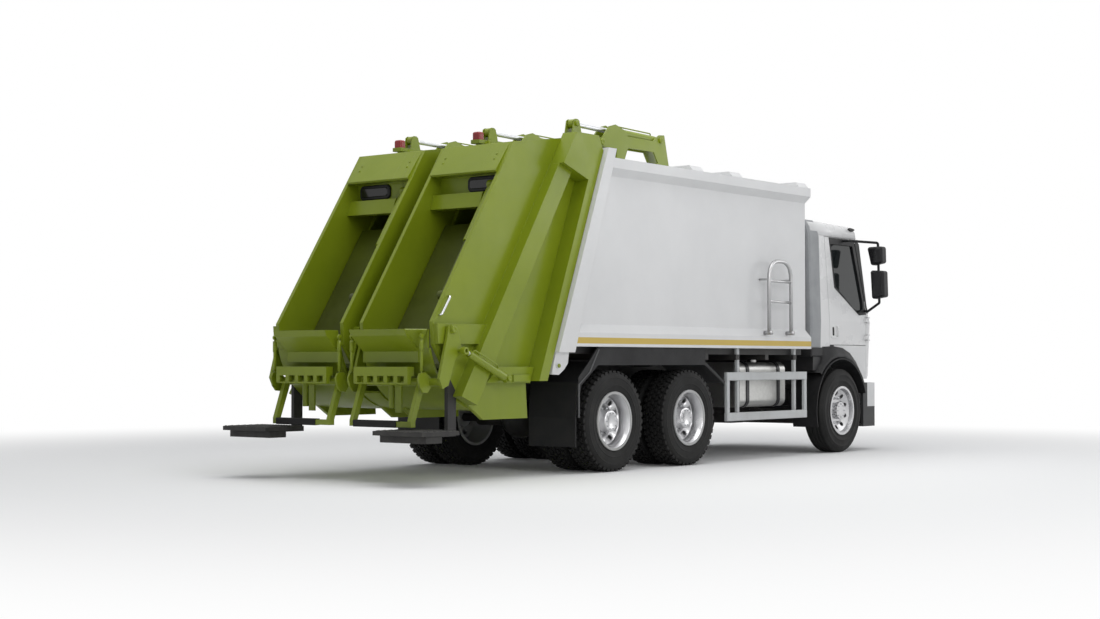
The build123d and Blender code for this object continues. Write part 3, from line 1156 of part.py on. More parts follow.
# Cylinders: bin lift cylinders outside the hoppers, lift cylinders on the roof
tipper_length = math.hypot(BIN_EAR[0] - TIPPER_PIN[0], BIN_EAR[1] - TIPPER_PIN[1])
for side, sign in SIDES:
    barrel_start = along(TIPPER_PIN, BIN_EAR, 40)
    barrel_end = along(TIPPER_PIN, BIN_EAR, TIPPER_BARREL_L)
    rod_start = along(TIPPER_PIN, BIN_EAR, 110)
    with BuildPart() as tipper_barrel:
        rod_between(barrel_start, barrel_end, sign * TIPPER_X, TIPPER_BARREL_R)
        cross_tube(*TIPPER_PIN, 44, sign * (TIPPER_X - 22), sign * (TIPPER_X + 22))
        bore = (sign * (TIPPER_X - 80), sign * (TIPPER_X + 80))
        cross_tube(*TIPPER_PIN, 24 + RUNNING_GAP, *bore, mode=Mode.SUBTRACT)
        rod_between(
            along(TIPPER_PIN, BIN_EAR, 90), along(TIPPER_PIN, BIN_EAR, 700), sign * TIPPER_X,
            TIPPER_ROD_R + RUNNING_GAP, mode=Mode.SUBTRACT,
        )
    save(tipper_barrel, f"tipper_barrel_{side}")
    with BuildPart() as tipper_rod:
        rod_between(rod_start, along(TIPPER_PIN, BIN_EAR, tipper_length - 20), sign * TIPPER_X, TIPPER_ROD_R)
        cross_tube(*BIN_EAR, TIPPER_EYE_R, sign * (TIPPER_X - 24), sign * (TIPPER_X + 24))
        cross_tube(*BIN_EAR, 18, sign * (TIPPER_X - 40), sign * (TIPPER_X + 40), mode=Mode.SUBTRACT)
    save(tipper_rod, f"tipper_rod_{side}")

lift_length = math.hypot(LIFT_EYE[0] - LIFT_BARREL_PIN[0], LIFT_EYE[1] - LIFT_BARREL_PIN[1])


def lift_point(distance):
    """A (y, z) point on a lift cylinder's line, from its barrel pin."""
    return along(LIFT_BARREL_PIN, LIFT_EYE, distance)


with BuildPart() as lift_barrels:
    for lift_x in LIFT_XS:
        rod_between(lift_point(40), lift_point(LIFT_BARREL_L), lift_x, LIFT_BARREL_R)
        cross_tube(*LIFT_BARREL_PIN, 44, lift_x - LIFT_BARREL_R, lift_x + LIFT_BARREL_R)
        cross_tube(*LIFT_BARREL_PIN, HINGE_PIN_R + RUNNING_GAP, lift_x - 100, lift_x + 100, mode=Mode.SUBTRACT)
        rod_between(lift_point(80), lift_point(900), lift_x, LIFT_ROD_R + RUNNING_GAP, mode=Mode.SUBTRACT)
save(lift_barrels, "lift_barrels")

with BuildPart() as lift_rods:
    for lift_x in LIFT_XS:
        rod_between(lift_point(640), lift_point(lift_length - 20), lift_x, LIFT_ROD_R)
        cross_tube(*LIFT_EYE, LIFT_EYE_R, lift_x - EYE_W / 2, lift_x + EYE_W / 2)
        cross_tube(*LIFT_EYE, 22, lift_x - EYE_W, lift_x + EYE_W, mode=Mode.SUBTRACT)
save(lift_rods, "lift_rods")
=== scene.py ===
# %% [markdown]
# # A rear-loading garbage truck with twin hoppers
# The truck arrives here as finished solids: chassis, load body, cab, tailgate, packers and bin lifts,
# each on the body that moves it. This lesson dresses those solids. It sets the camera where the
# photographer stood, lights a pale studio, mixes a paint or rubber for every surface, and then adds
# what is too fine for the solids: tyre tread, wheel nuts, pin heads, lamps, pipes and trim. The tank's
# straps are painted on.

# %% Load the solids
import json
import math

import bmesh
import bpy
from mathutils import Matrix, Vector
from mathutils.bvhtree import BVHTree


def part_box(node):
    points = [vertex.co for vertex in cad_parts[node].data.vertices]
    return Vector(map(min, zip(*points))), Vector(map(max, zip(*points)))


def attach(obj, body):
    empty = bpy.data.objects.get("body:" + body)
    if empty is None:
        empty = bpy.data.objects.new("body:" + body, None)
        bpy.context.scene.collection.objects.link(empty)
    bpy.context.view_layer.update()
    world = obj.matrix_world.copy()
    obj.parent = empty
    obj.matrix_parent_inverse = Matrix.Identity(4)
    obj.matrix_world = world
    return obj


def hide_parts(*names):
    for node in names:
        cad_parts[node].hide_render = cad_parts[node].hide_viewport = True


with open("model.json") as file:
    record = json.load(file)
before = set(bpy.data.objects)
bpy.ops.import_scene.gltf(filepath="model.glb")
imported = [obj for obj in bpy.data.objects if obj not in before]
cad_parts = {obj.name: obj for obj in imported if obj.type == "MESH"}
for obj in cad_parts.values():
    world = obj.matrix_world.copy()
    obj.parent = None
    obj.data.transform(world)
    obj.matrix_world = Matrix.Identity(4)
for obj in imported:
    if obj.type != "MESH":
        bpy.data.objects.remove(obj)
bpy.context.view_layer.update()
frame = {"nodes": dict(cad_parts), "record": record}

# %% [markdown]
# ## The camera
# The view is from behind the truck's right rear corner, a little above bumper height, through a lens
# longer than normal, so the sides stay nearly parallel. The place and the lens were worked out from
# the wheel centres and the straight edges of the body, and so nothing is guessed by eye here.

# %% The photographer's place
scene = bpy.context.scene
LENS_MM = 56.86
TILT_UP = math.radians(1.7148)
REAR_AXLE = 1.4525
STAND = (-11.589, REAR_AXLE + 14.295, 1.118)
HEADING = (0.6165, -0.7873)

lens = bpy.data.cameras.new("photo_camera")
lens.lens = LENS_MM
lens.sensor_width = 36.0
lens.sensor_fit = "HORIZONTAL"
lens.clip_end = 300.0
camera = bpy.data.objects.new("photo_camera", lens)
camera.location = STAND
gaze = Vector((HEADING[0] * math.cos(TILT_UP), HEADING[1] * math.cos(TILT_UP), math.sin(TILT_UP)))
camera.rotation_euler = gaze.to_track_quat("-Z", "Y").to_euler()
scene.collection.objects.link(camera)
scene.camera = camera
scene.view_settings.view_transform = "Standard"
print("camera", STAND, "lens", LENS_MM)

# %% [markdown]
# ## The studio
# The truck stands on a white sweep that runs out to pure white. A floor that is only lit would turn
# grey far away, so its shader fades from a plain matt floor near the wheels, where the shadow falls,
# to a white that shows to the camera and in reflections. The lamps are large and soft: one overhead,
# one from the camera's side, and a weak one along the nose.

# %% White sweep
FLOOR_HALF = 120.0
FADE_FROM = 5.0
FADE_TO = 13.0


def maths(nodes, links, operation, first, second):
    """The result of a Math node; either value may be a number or a socket."""
    node = nodes.new("ShaderNodeMath")
    node.operation = operation
    for socket, value in zip(node.inputs, (first, second)):
        if isinstance(value, (int, float)):
            socket.default_value = value
        else:
            links.new(value, socket)
    return node.outputs[0]


def seen_directly(nodes, links):
    """One for camera, mirror and glass rays, nought for the rays that light things."""
    rays = nodes.new("ShaderNodeLightPath").outputs
    mirror = maths(nodes, links, "MAXIMUM", rays["Is Camera Ray"], rays["Is Glossy Ray"])
    return maths(nodes, links, "MAXIMUM", mirror, rays["Is Transmission Ray"])


floor_white = bpy.data.materials.new("floor_white")
floor_white.use_nodes = True
nodes, links = floor_white.node_tree.nodes, floor_white.node_tree.links
matt = nodes["Principled BSDF"]
matt.inputs["Base Color"].default_value = (0.94, 0.94, 0.94, 1.0)
matt.inputs["Roughness"].default_value = 0.9
glow = nodes.new("ShaderNodeEmission")
glow.inputs["Strength"].default_value = 1.0
place = nodes.new("ShaderNodeTexCoord")
away = nodes.new("ShaderNodeVectorMath")
away.operation = "LENGTH"
links.new(place.outputs["Object"], away.inputs[0])
fade = nodes.new("ShaderNodeMapRange")
fade.interpolation_type = "SMOOTHSTEP"
fade.inputs["From Min"].default_value = FADE_FROM
fade.inputs["From Max"].default_value = FADE_TO
fade.inputs["To Min"].default_value = 0.02
links.new(away.outputs["Value"], fade.inputs["Value"])
shown = maths(nodes, links, "MULTIPLY", fade.outputs["Result"], seen_directly(nodes, links))
blend = nodes.new("ShaderNodeMixShader")
links.new(shown, blend.inputs["Fac"])
links.new(matt.outputs["BSDF"], blend.inputs[1])
links.new(glow.outputs["Emission"], blend.inputs[2])
links.new(blend.outputs["Shader"], nodes["Material Output"].inputs["Surface"])

floor_mesh = bpy.data.meshes.new("floor")
floor_corners = [(FLOOR_HALF * x, FLOOR_HALF * y, 0.0) for x, y in ((-1, -1), (1, -1), (1, 1), (-1, 1))]
floor_mesh.from_pydata(floor_corners, [], [(0, 1, 2, 3)])
floor = bpy.data.objects.new("floor", floor_mesh)
floor.data.materials.append(floor_white)
scene.collection.objects.link(floor)
print("floor fades from", FADE_FROM, "to", FADE_TO, "m")

# %% Sky and lamps
sky = bpy.data.worlds.new("studio")
scene.world = sky
sky.use_nodes = True
nodes, links = sky.node_tree.nodes, sky.node_tree.links
fill = nodes["Background"]
fill.inputs["Color"].default_value = (0.93, 0.96, 1.0, 1.0)
fill.inputs["Strength"].default_value = 0.27
white = nodes.new("ShaderNodeBackground")
white.inputs["Color"].default_value = (1.0, 1.0, 1.0, 1.0)
white.inputs["Strength"].default_value = 1.0
choose = nodes.new("ShaderNodeMixShader")
links.new(seen_directly(nodes, links), choose.inputs["Fac"])
links.new(fill.outputs["Background"], choose.inputs[1])
links.new(white.outputs["Background"], choose.inputs[2])
links.new(choose.outputs["Shader"], nodes["World Output"].inputs["Surface"])

# Columns: name, place, aim, watts, width, depth
LAMPS = (
    ("overhead", (-1.0, 1.0, 11.0), (0.0, 0.0, 1.5), 920, 11.0, 12.0),
    ("camera_side", (-13.0, 8.0, 7.0), (-1.0, 0.5, 1.6), 400, 7.0, 5.0),
    ("nose", (-9.0, -11.0, 5.0), (0.0, -3.0, 1.5), 170, 6.0, 4.0),
)
for lamp_name, spot, aim, watts, wide, deep in LAMPS:
    light = bpy.data.lights.new(lamp_name, "AREA")
    light.shape = "RECTANGLE"
    light.size = wide
    light.size_y = deep
    light.energy = watts
    lamp = bpy.data.objects.new(lamp_name, light)
    lamp.location = spot
    lamp.rotation_euler = (Vector(aim) - Vector(spot)).to_track_quat("-Z", "Y").to_euler()
    scene.collection.objects.link(lamp)
print("lamps", [row[0] for row in LAMPS])

# %% [markdown]
# ## Paint
# Every panel on a working truck has the same story: a colour coat with a faint orange peel, dust that
# gathers low down, and edges worn back to the primer. On the green paint the lighter primer along the
# edges also stands as a painted highlight, the light that catches the hopper's flanges. One function mixes
# that, and each paint only says how much of each it wants. The Bevel node finds the edges, because the
# solids are made of large flat faces, where a vertex-based edge finder would paint whole panels.

# %% Mixing a paint
DUST = (0.30, 0.28, 0.24, 1.0)


def finish(name):
    """A new material with its node tree's nodes, links and shader."""
    made = bpy.data.materials.new(name)
    made.use_nodes = True
    tree = made.node_tree
    return made, tree.nodes, tree.links, tree.nodes["Principled BSDF"]


def ramp(nodes, links, value, low, high, to_low=0.0, to_high=1.0):
    """A value from low to high brought to to_low to to_high, and held beyond them."""
    node = nodes.new("ShaderNodeMapRange")
    for label, number in (("From Min", low), ("From Max", high), ("To Min", to_low), ("To Max", to_high)):
        node.inputs[label].default_value = number
    links.new(value, node.inputs["Value"])
    return node.outputs["Result"]


def along(nodes, links, axis):
    """The truck's own coordinate along an axis."""
    where = nodes.new("ShaderNodeTexCoord")
    split = nodes.new("ShaderNodeSeparateXYZ")
    links.new(where.outputs["Object"], split.inputs["Vector"])
    return split.outputs[axis]


def cloud(nodes, links, size, low, high, stretch=(1.0, 1.0, 1.0)):
    """Soft blotches from nought to one over the truck, about size metres across."""
    where = nodes.new("ShaderNodeTexCoord")
    scaled = nodes.new("ShaderNodeMapping")
    scaled.inputs["Scale"].default_value = stretch
    links.new(where.outputs["Object"], scaled.inputs["Vector"])
    noise = nodes.new("ShaderNodeTexNoise")
    noise.inputs["Scale"].default_value = 1.0 / size
    noise.inputs["Detail"].default_value = 5.0
    noise.inputs["Roughness"].default_value = 0.6
    links.new(scaled.outputs["Vector"], noise.inputs["Vector"])
    return ramp(nodes, links, noise.outputs["Fac"], low, high)


def times(nodes, links, first, second):
    """The product of two values."""
    return maths(nodes, links, "MULTIPLY", first, second)


def tint(nodes, links, amount, under, over):
    """Mix over on to under by amount; either may be a colour or a socket."""
    mix = nodes.new("ShaderNodeMix")
    mix.data_type = "RGBA"
    links.new(amount, mix.inputs["Factor"])
    for socket, value in ((mix.inputs["A"], under), (mix.inputs["B"], over)):
        if isinstance(value, tuple):
            socket.default_value = value
        else:
            links.new(value, socket)
    return mix.outputs["Result"]


def soft_edges(nodes, links, radius):
    """The rounded normal of a Bevel node, and a mask that is one along the edges."""
    bevel = nodes.new("ShaderNodeBevel")
    bevel.samples = 4
    bevel.inputs["Radius"].default_value = radius
    flat = nodes.new("ShaderNodeNewGeometry")
    agree = nodes.new("ShaderNodeVectorMath")
    agree.operation = "DOT_PRODUCT"
    links.new(bevel.outputs["Normal"], agree.inputs[0])
    links.new(flat.outputs["Normal"], agree.inputs[1])
    edge = ramp(nodes, links, agree.outputs["Value"], 0.985, 0.80)
    return bevel.outputs["Normal"], edge


def low_down(nodes, links, full, none):
    """One below the height full, nought above the height none."""
    return ramp(nodes, links, along(nodes, links, "Z"), none, full)


def between(nodes, links, axis, low, high):
    """One where the truck's own coordinate lies from low to high, nought elsewhere."""
    here = along(nodes, links, axis)
    rising = ramp(nodes, links, here, low - 0.001, low)
    falling = ramp(nodes, links, here, high + 0.001, high)
    return times(nodes, links, rising, falling)


def surface(nodes, links, shader, grain, depth, roughness, spread, normal=None):
    """Give a shader its roughness blotches and a fine bump of the given grain."""
    patches = cloud(nodes, links, 0.35, 0.3, 0.7)
    rough = ramp(nodes, links, patches, 0.0, 1.0, roughness - spread, roughness + spread)
    links.new(rough, shader.inputs["Roughness"])
    bump = nodes.new("ShaderNodeBump")
    bump.inputs["Strength"].default_value = 0.5
    bump.inputs["Distance"].default_value = depth
    links.new(cloud(nodes, links, grain, 0.25, 0.75), bump.inputs["Height"])
    if normal is not None:
        links.new(normal, bump.inputs["Normal"])
    links.new(bump.outputs["Normal"], shader.inputs["Normal"])


def paint(name, colour, shade, primer, wear_and_highlight, dust, roughness=0.38, coat=0.08, round_mm=6.0, second=None):
    """A worn coach paint: colour with blotches of shade, primer on worn edges, dust low down.
    On the green the lighter primer along the edges is also a painted highlight.

    second is (colour, (axis, low, high), ...): another colour where all those ranges hold.
    """
    made, nodes, links, shader = finish(name)
    normal, edge = soft_edges(nodes, links, round_mm / 1000)
    coloured = tint(nodes, links, cloud(nodes, links, 0.8, 0.35, 0.7), colour, shade)
    if second:
        second_colour, *ranges = second
        here = between(nodes, links, *ranges[0])
        for span in ranges[1:]:
            here = times(nodes, links, here, between(nodes, links, *span))
        coloured = tint(nodes, links, here, coloured, second_colour)
    # Edges mixed towards the primer colour: worn paint, and on the green, where the primer is lighter, also
    # a painted highlight along the edges
    rubbed_edge_and_highlight = times(nodes, links, edge, cloud(nodes, links, 0.10, 0.42, 0.62))
    coloured = tint(nodes, links, times(nodes, links, rubbed_edge_and_highlight, wear_and_highlight), coloured, primer)
    streaks = cloud(nodes, links, 0.22, 0.35, 0.75, stretch=(1.0, 1.0, 0.25))
    settled = times(nodes, links, low_down(nodes, links, 0.3, 1.9), streaks)
    coloured = tint(nodes, links, times(nodes, links, settled, dust), coloured, DUST)
    links.new(coloured, shader.inputs["Base Color"])
    surface(nodes, links, shader, 0.004, 0.0004, roughness, 0.07, normal)
    shader.inputs["Coat Weight"].default_value = coat
    shader.inputs["Coat Roughness"].default_value = 0.12
    shader.inputs["Specular IOR Level"].default_value = 0.32
    return made


GREEN = (0.225, 0.285, 0.010, 1.0)
GREEN_SHADE = (0.190, 0.248, 0.007, 1.0)
# Lighter green for worn edges, which also serves as a painted highlight along the hopper edges
GREEN_PRIMER_AND_HIGHLIGHT = (0.34, 0.39, 0.12, 1.0)
WHITE = (0.745, 0.747, 0.75, 1.0)
WHITE_SHADE = (0.705, 0.708, 0.712, 1.0)
MUSTARD = (0.58, 0.41, 0.075, 1.0)
BLACK = (0.020, 0.020, 0.022, 1.0)
finishes = {
    "green_paint": paint("green_paint", GREEN, GREEN_SHADE, GREEN_PRIMER_AND_HIGHLIGHT, 0.5, 0.10),
    "white_paint": paint("white_paint", WHITE, WHITE_SHADE, (0.52, 0.53, 0.54, 1.0), 0.35, 0.20),
    "cab_white": paint(
        "cab_white", (0.765, 0.765, 0.765, 1.0), (0.735, 0.735, 0.737, 1.0), (0.55, 0.56, 0.57, 1.0),
        0.15, 0.08, 0.28, 0.25,
    ),
    "chassis_black": paint(
        "chassis_black", (0.016, 0.016, 0.017, 1.0), (0.024, 0.023, 0.022, 1.0), (0.07, 0.068, 0.065, 1.0),
        0.6, 0.12, 0.52, 0.0,
    ),
    "guard_grey": paint(
        "guard_grey", (0.56, 0.575, 0.58, 1.0), (0.50, 0.515, 0.52, 1.0), (0.34, 0.34, 0.33, 1.0),
        0.5, 0.30, 0.4, 0.1, 4.0,
    ),
    "cylinder_grey": paint("cylinder_grey", GREEN, GREEN_SHADE, GREEN_PRIMER_AND_HIGHLIGHT, 0.6, 0.1, 0.38, 0.2, 4.0),
    "wheel_silver": paint(
        "wheel_silver", (0.46, 0.465, 0.47, 1.0), (0.40, 0.405, 0.41, 1.0), (0.30, 0.29, 0.28, 1.0),
        0.4, 0.45, 0.32, 0.2, 3.0,
    ),
    # Packer plates are painted much darker than the green: painted shade standing in for the shadow inside
    # the hoppers, with heavy wear and dust as well
    "packer_painted_shade": paint(
        "packer_painted_shade", (0.075, 0.095, 0.004, 1.0), (0.045, 0.055, 0.004, 1.0), (0.16, 0.17, 0.10, 1.0),
        0.7, 0.3, 0.5, 0.0,
    ),
    "cab_lower": paint(
        "cab_lower", BLACK, (0.030, 0.030, 0.032, 1.0), (0.08, 0.08, 0.08, 1.0), 0.2, 0.1, 0.5, 0.0,
        second=((0.755, 0.755, 0.757, 1.0), ("Y", -9.0, REAR_AXLE - 4.72)),
    ),
    "two_tone_bumper": paint(
        "two_tone_bumper", (0.030, 0.031, 0.034, 1.0), (0.040, 0.041, 0.044, 1.0), (0.09, 0.09, 0.09, 1.0),
        0.2, 0.1, 0.5, 0.0, second=(WHITE, ("Y", -9.0, REAR_AXLE - 5.55), ("Z", 0.552, 2.0)),
    ),
    "striped_white": paint(
        "striped_white", WHITE, WHITE_SHADE, (0.52, 0.53, 0.54, 1.0), 0.35, 0.12,
        second=(MUSTARD, ("Z", 1.298, 1.358)),
    ),
}
print("paints", sorted(finishes))

# %% [markdown]
# ## Plastic, rubber, metal and glass
# The arches and mirrors are moulded plastic with a leathery grain, the tank is polished aluminium with
# painted straps, the rods are chrome, and the glass is dark because the cab behind it is unlit. Numbers
# that hold all over a surface are set straight on the shader; only what varies comes through nodes.

# %% Moulded plastic and rubber


def moulded(name, colour, shade, grain, roughness, dust, round_mm=5.0):
    """Grained plastic or rubber with dust in its lower part."""
    made, nodes, links, shader = finish(name)
    normal, edge = soft_edges(nodes, links, round_mm / 1000)
    coloured = tint(nodes, links, cloud(nodes, links, 0.25, 0.35, 0.7), colour, shade)
    scuffed = tuple(2.2 * c for c in colour[:3]) + (1.0,)
    coloured = tint(nodes, links, times(nodes, links, edge, 0.35), coloured, scuffed)
    settled = times(nodes, links, low_down(nodes, links, 0.2, 1.3), cloud(nodes, links, 0.18, 0.35, 0.7))
    coloured = tint(nodes, links, times(nodes, links, settled, dust), coloured, DUST)
    links.new(coloured, shader.inputs["Base Color"])
    shader.inputs["Specular IOR Level"].default_value = 0.25
    surface(nodes, links, shader, grain, 0.0007, roughness, 0.08, normal)
    return made


# Columns: name, colour, blotches, grain in metres, roughness, dust
PLASTICS = (
    ("charcoal", (0.009, 0.009, 0.010, 1.0), (0.014, 0.014, 0.015, 1.0), 0.003, 0.55, 0.03),
    ("mirror_black", (0.008, 0.008, 0.009, 1.0), (0.012, 0.012, 0.013, 1.0), 0.002, 0.46, 0.0),
    ("dash_plastic", (0.035, 0.035, 0.038, 1.0), (0.050, 0.050, 0.052, 1.0), 0.002, 0.60, 0.0),
    ("tyre", (0.007, 0.007, 0.007, 1.0), (0.011, 0.011, 0.011, 1.0), 0.004, 0.68, 0.03),
    ("seat_cloth", (0.055, 0.056, 0.060, 1.0), (0.040, 0.040, 0.043, 1.0), 0.0015, 0.90, 0.0),
    ("arch_grey", (0.017, 0.017, 0.018, 1.0), (0.024, 0.024, 0.025, 1.0), 0.003, 0.55, 0.06),
    ("edge_grey", (0.075, 0.076, 0.078, 1.0), (0.100, 0.101, 0.103, 1.0), 0.003, 0.50, 0.05),
    ("fairing_grey", (0.34, 0.35, 0.36, 1.0), (0.29, 0.30, 0.31, 1.0), 0.003, 0.50, 0.10),
)
for row in PLASTICS:
    finishes[row[0]] = moulded(*row)
print("plastics", [row[0] for row in PLASTICS])

# %% Bare metals


def bare_metal(name, colour, roughness, spread, scratch):
    """Metal with drawn-out scratches that change its gloss."""
    made, nodes, links, shader = finish(name)
    normal, edge = soft_edges(nodes, links, 0.003)
    drawn = cloud(nodes, links, 0.05, 0.3, 0.7, stretch=(12.0, 1.0, 1.0))
    dull = tuple(0.72 * c for c in colour[:3]) + (1.0,)
    coloured = tint(nodes, links, times(nodes, links, drawn, 0.5), colour, dull)
    links.new(coloured, shader.inputs["Base Color"])
    shader.inputs["Metallic"].default_value = 1.0
    surface(nodes, links, shader, scratch, 0.0002, roughness, spread, normal)
    return made


def strapped_metal(name, colour, strap_ys, half_width, strap_colour=(0.012, 0.012, 0.014, 1.0)):
    """Polished metal with painted straps where y lies within half_width of each strap."""
    made = bare_metal(name, colour, 0.40, 0.08, 0.02)
    nodes, links = made.node_tree.nodes, made.node_tree.links
    shader = nodes["Principled BSDF"]
    straps = None
    for strap_y in strap_ys:
        here = between(nodes, links, "Y", strap_y - half_width, strap_y + half_width)
        straps = here if straps is None else maths(nodes, links, "MAXIMUM", straps, here)
    polished = shader.inputs["Base Color"].links[0].from_socket
    links.new(tint(nodes, links, straps, polished, strap_colour), shader.inputs["Base Color"])
    links.new(maths(nodes, links, "SUBTRACT", 1.0, straps), shader.inputs["Metallic"])
    return made


TANK_STRAPS = (REAR_AXLE - 3.616, REAR_AXLE - 2.927)
finishes["strapped_tank"] = strapped_metal("strapped_tank", (0.56, 0.56, 0.545, 1.0), TANK_STRAPS, 0.034)
# The rods' eyes are painted, where the rods themselves are chrome
CHROME = (0.74, 0.75, 0.77, 1.0)
TIPPER_EYE = REAR_AXLE + 2.277
LIFT_EYE = REAR_AXLE + 0.519
finishes["tipper_rod"] = strapped_metal("tipper_rod", CHROME, (TIPPER_EYE,), 0.040, GREEN)
finishes["lift_rod"] = strapped_metal("lift_rod", CHROME, (LIFT_EYE,), 0.060, GREEN)
# Columns: name, colour, roughness, spread of the roughness, scratches in metres
METALS = (
    ("ladder_steel", (0.49, 0.49, 0.495, 1.0), 0.34, 0.08, 0.01),
    ("worn_steel", (0.56, 0.57, 0.58, 1.0), 0.38, 0.10, 0.01),
    ("chrome_rod", CHROME, 0.16, 0.05, 0.006),
    ("polished_wheel", (0.62, 0.62, 0.63, 1.0), 0.30, 0.06, 0.03),
)
for row in METALS:
    finishes[row[0]] = bare_metal(*row)
print("metals", [row[0] for row in METALS])

# %% Glass and lenses


def tinted(name, colour, roughness, clear):
    """A lens or pane: glossy, partly clear, with faint smears."""
    made, nodes, links, shader = finish(name)
    smear = cloud(nodes, links, 0.15, 0.4, 0.75, stretch=(1.0, 1.0, 0.3))
    hazed = tuple(min(1.0, 1.3 * c + 0.006) for c in colour[:3]) + (1.0,)
    coloured = tint(nodes, links, times(nodes, links, smear, 0.4), colour, hazed)
    links.new(coloured, shader.inputs["Base Color"])
    surface(nodes, links, shader, 0.05, 0.0001, roughness, 0.03)
    shader.inputs["Transmission Weight"].default_value = clear
    shader.inputs["IOR"].default_value = 1.45
    return made


# Columns: name, colour, roughness, how clear
LENSES = (
    ("glass", (0.018, 0.022, 0.023, 1.0), 0.05, 0.25),
    ("beacon_red", (0.26, 0.012, 0.012, 1.0), 0.25, 0.0),
    ("dark_lens", (0.008, 0.008, 0.009, 1.0), 0.14, 0.0),
    ("amber_lens", (0.62, 0.22, 0.02, 1.0), 0.12, 0.2),
    ("lamp_lens", (0.80, 0.82, 0.84, 1.0), 0.08, 0.4),
)
for row in LENSES:
    finishes[row[0]] = tinted(*row)
print("lenses", [row[0] for row in LENSES])

# %% Every solid takes its finish
SPECIAL_FINISHES = {
    "body_sides": "striped_white", "fuel_tank": "strapped_tank", "cab_floor": "cab_lower",
    "front_bumper": "two_tone_bumper", "packer_left": "packer_painted_shade", "packer_right": "packer_painted_shade",
    "rim_front_left": "polished_wheel", "rim_front_right": "polished_wheel", "headlamps": "charcoal",
    "tipper_rod_left": "tipper_rod", "tipper_rod_right": "tipper_rod", "lift_rods": "lift_rod",
}
for entry in frame["record"]["subparts"]:
    solid = frame["nodes"][entry["node"]]
    solid.data.materials.clear()
    solid.data.materials.append(finishes[SPECIAL_FINISHES.get(entry["node"], entry["material_slot"])])

# %% [markdown]
# ## Tyres and wheel fastenings
# The solids carry plain tyres, because tread would cost them thousands of faces. Here each tyre is
# turned again from its sidewall outline, and gets tread: chunky blocks in staggered rows on the driven
# axles, ribs with grooves on the steered one. The driven wheels also get a polished face, a stepped
# barrel with a coned and holed disc, because it stands further out than in the solids. The nuts and
# hub bolts are six-sided pieces set round their circles.

# %% Turning and placing small parts
def new_piece(name, corners, faces, material, body, smooth=True):
    """A mesh piece in the truck's frame that moves with a body."""
    mesh = bpy.data.meshes.new(name)
    mesh.from_pydata([tuple(corner) for corner in corners], [], faces)
    rough_mesh = bmesh.new()
    rough_mesh.from_mesh(mesh)
    bmesh.ops.recalc_face_normals(rough_mesh, faces=rough_mesh.faces)
    rough_mesh.to_mesh(mesh)
    rough_mesh.free()
    mesh.materials.append(finishes[material])
    mesh.polygons.foreach_set("use_smooth", [smooth] * len(mesh.polygons))
    mesh.update()
    piece = bpy.data.objects.new(name, mesh)
    scene.collection.objects.link(piece)
    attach(piece, body)
    return piece


SIDES = (("left", 1), ("right", -1))


def lofted(rows, round_rows=False, round_columns=False):
    """Faces between rows of equally many points; either way round can be closed."""
    count = len(rows[0])
    corners = [tuple(point) for row in rows for point in row]
    faces = []
    for row in range(len(rows) if round_columns else len(rows) - 1):
        here, there = row * count, (row + 1) % len(rows) * count
        for point in range(count if round_rows else count - 1):
            after = (point + 1) % count
            faces.append((here + point, here + after, there + after, there + point))
    return corners, faces


def closed_form(rows):
    """Closed rings joined one to the next, with the first and the last ring filled."""
    corners, faces = lofted(rows, round_rows=True)
    count = len(rows[0])
    last = len(corners) - count
    return corners, faces + [tuple(range(count)), tuple(range(last, last + count))]


def turned(outline, steps, closed=True):
    """Corners and faces of an (x, radius) outline turned about the x axis."""
    corners = []
    faces = []
    count = len(outline)
    for step in range(steps):
        angle = 2 * math.pi * step / steps
        corners += [(x, r * math.cos(angle), r * math.sin(angle)) for x, r in outline]
    for step in range(steps):
        here, there = step * count, (step + 1) % steps * count
        for point in range(count if closed else count - 1):
            after = (point + 1) % count
            faces.append((here + point, there + point, there + after, here + after))
    return corners, faces


def gather(parts):
    """Join several (corners, faces) pairs into one."""
    corners = []
    faces = []
    for part_corners, part_faces in parts:
        shift = len(corners)
        corners += part_corners
        faces += [tuple(index + shift for index in face) for face in part_faces]
    return corners, faces


def moved(part, matrix):
    """A (corners, faces) pair after a matrix; a mirrored one has its faces turned back."""
    corners, faces = part
    placed = [tuple(matrix @ Vector(corner)) for corner in corners]
    if matrix.determinant() < 0:
        faces = [tuple(reversed(face)) for face in faces]
    return placed, faces


# %% One tyre
TYRE_R = 0.515
TREAD_DEEP = 0.016
SHOULDER = 0.112
# Columns: distance from the tyre's middle, radius
SIDEWALL = (
    (0.116, 0.492), (0.132, 0.478), (0.139, 0.462), (0.1425, 0.446), (0.1450, 0.443), (0.1450, 0.436),
    (0.1435, 0.433), (0.1440, 0.41), (0.1430, 0.372), (0.1445, 0.369), (0.1445, 0.362), (0.1415, 0.358),
    (0.1360, 0.330), (0.1310, 0.312), (0.1330, 0.308), (0.1290, 0.300), (0.1210, 0.2985), (0.1210, 0.290),
)
TYRE_STEPS = 96


def tyre_case(crown):
    """The tyre's body: both sidewalls joined by a crown given from middle to shoulder."""
    half = list(crown) + list(SIDEWALL)
    outline = half + [(-x, r) for x, r in reversed(half) if x > 0.0]
    return turned(outline, TYRE_STEPS)


def tread_block(x_low, x_high, angle, share, lean, low, top):
    """One tapered tread block standing on the crown; lean skews it round the tyre."""
    inset = 0.003
    corners = []
    for radius, draw in ((low, 0.0), (top, inset)):
        for x, side in ((x_low + draw, -1), (x_high - draw, -1), (x_high - draw, 1), (x_low + draw, 1)):
            skew = lean * (1 if x > (x_low + x_high) / 2 else -1)
            turn_to = angle + side * (share / 2 - draw / radius) + skew
            corners.append((x, radius * math.cos(turn_to), radius * math.sin(turn_to)))
    return corners, [(4, 5, 6, 7), (0, 1, 5, 4), (1, 2, 6, 5), (2, 3, 7, 6), (3, 0, 4, 7)]


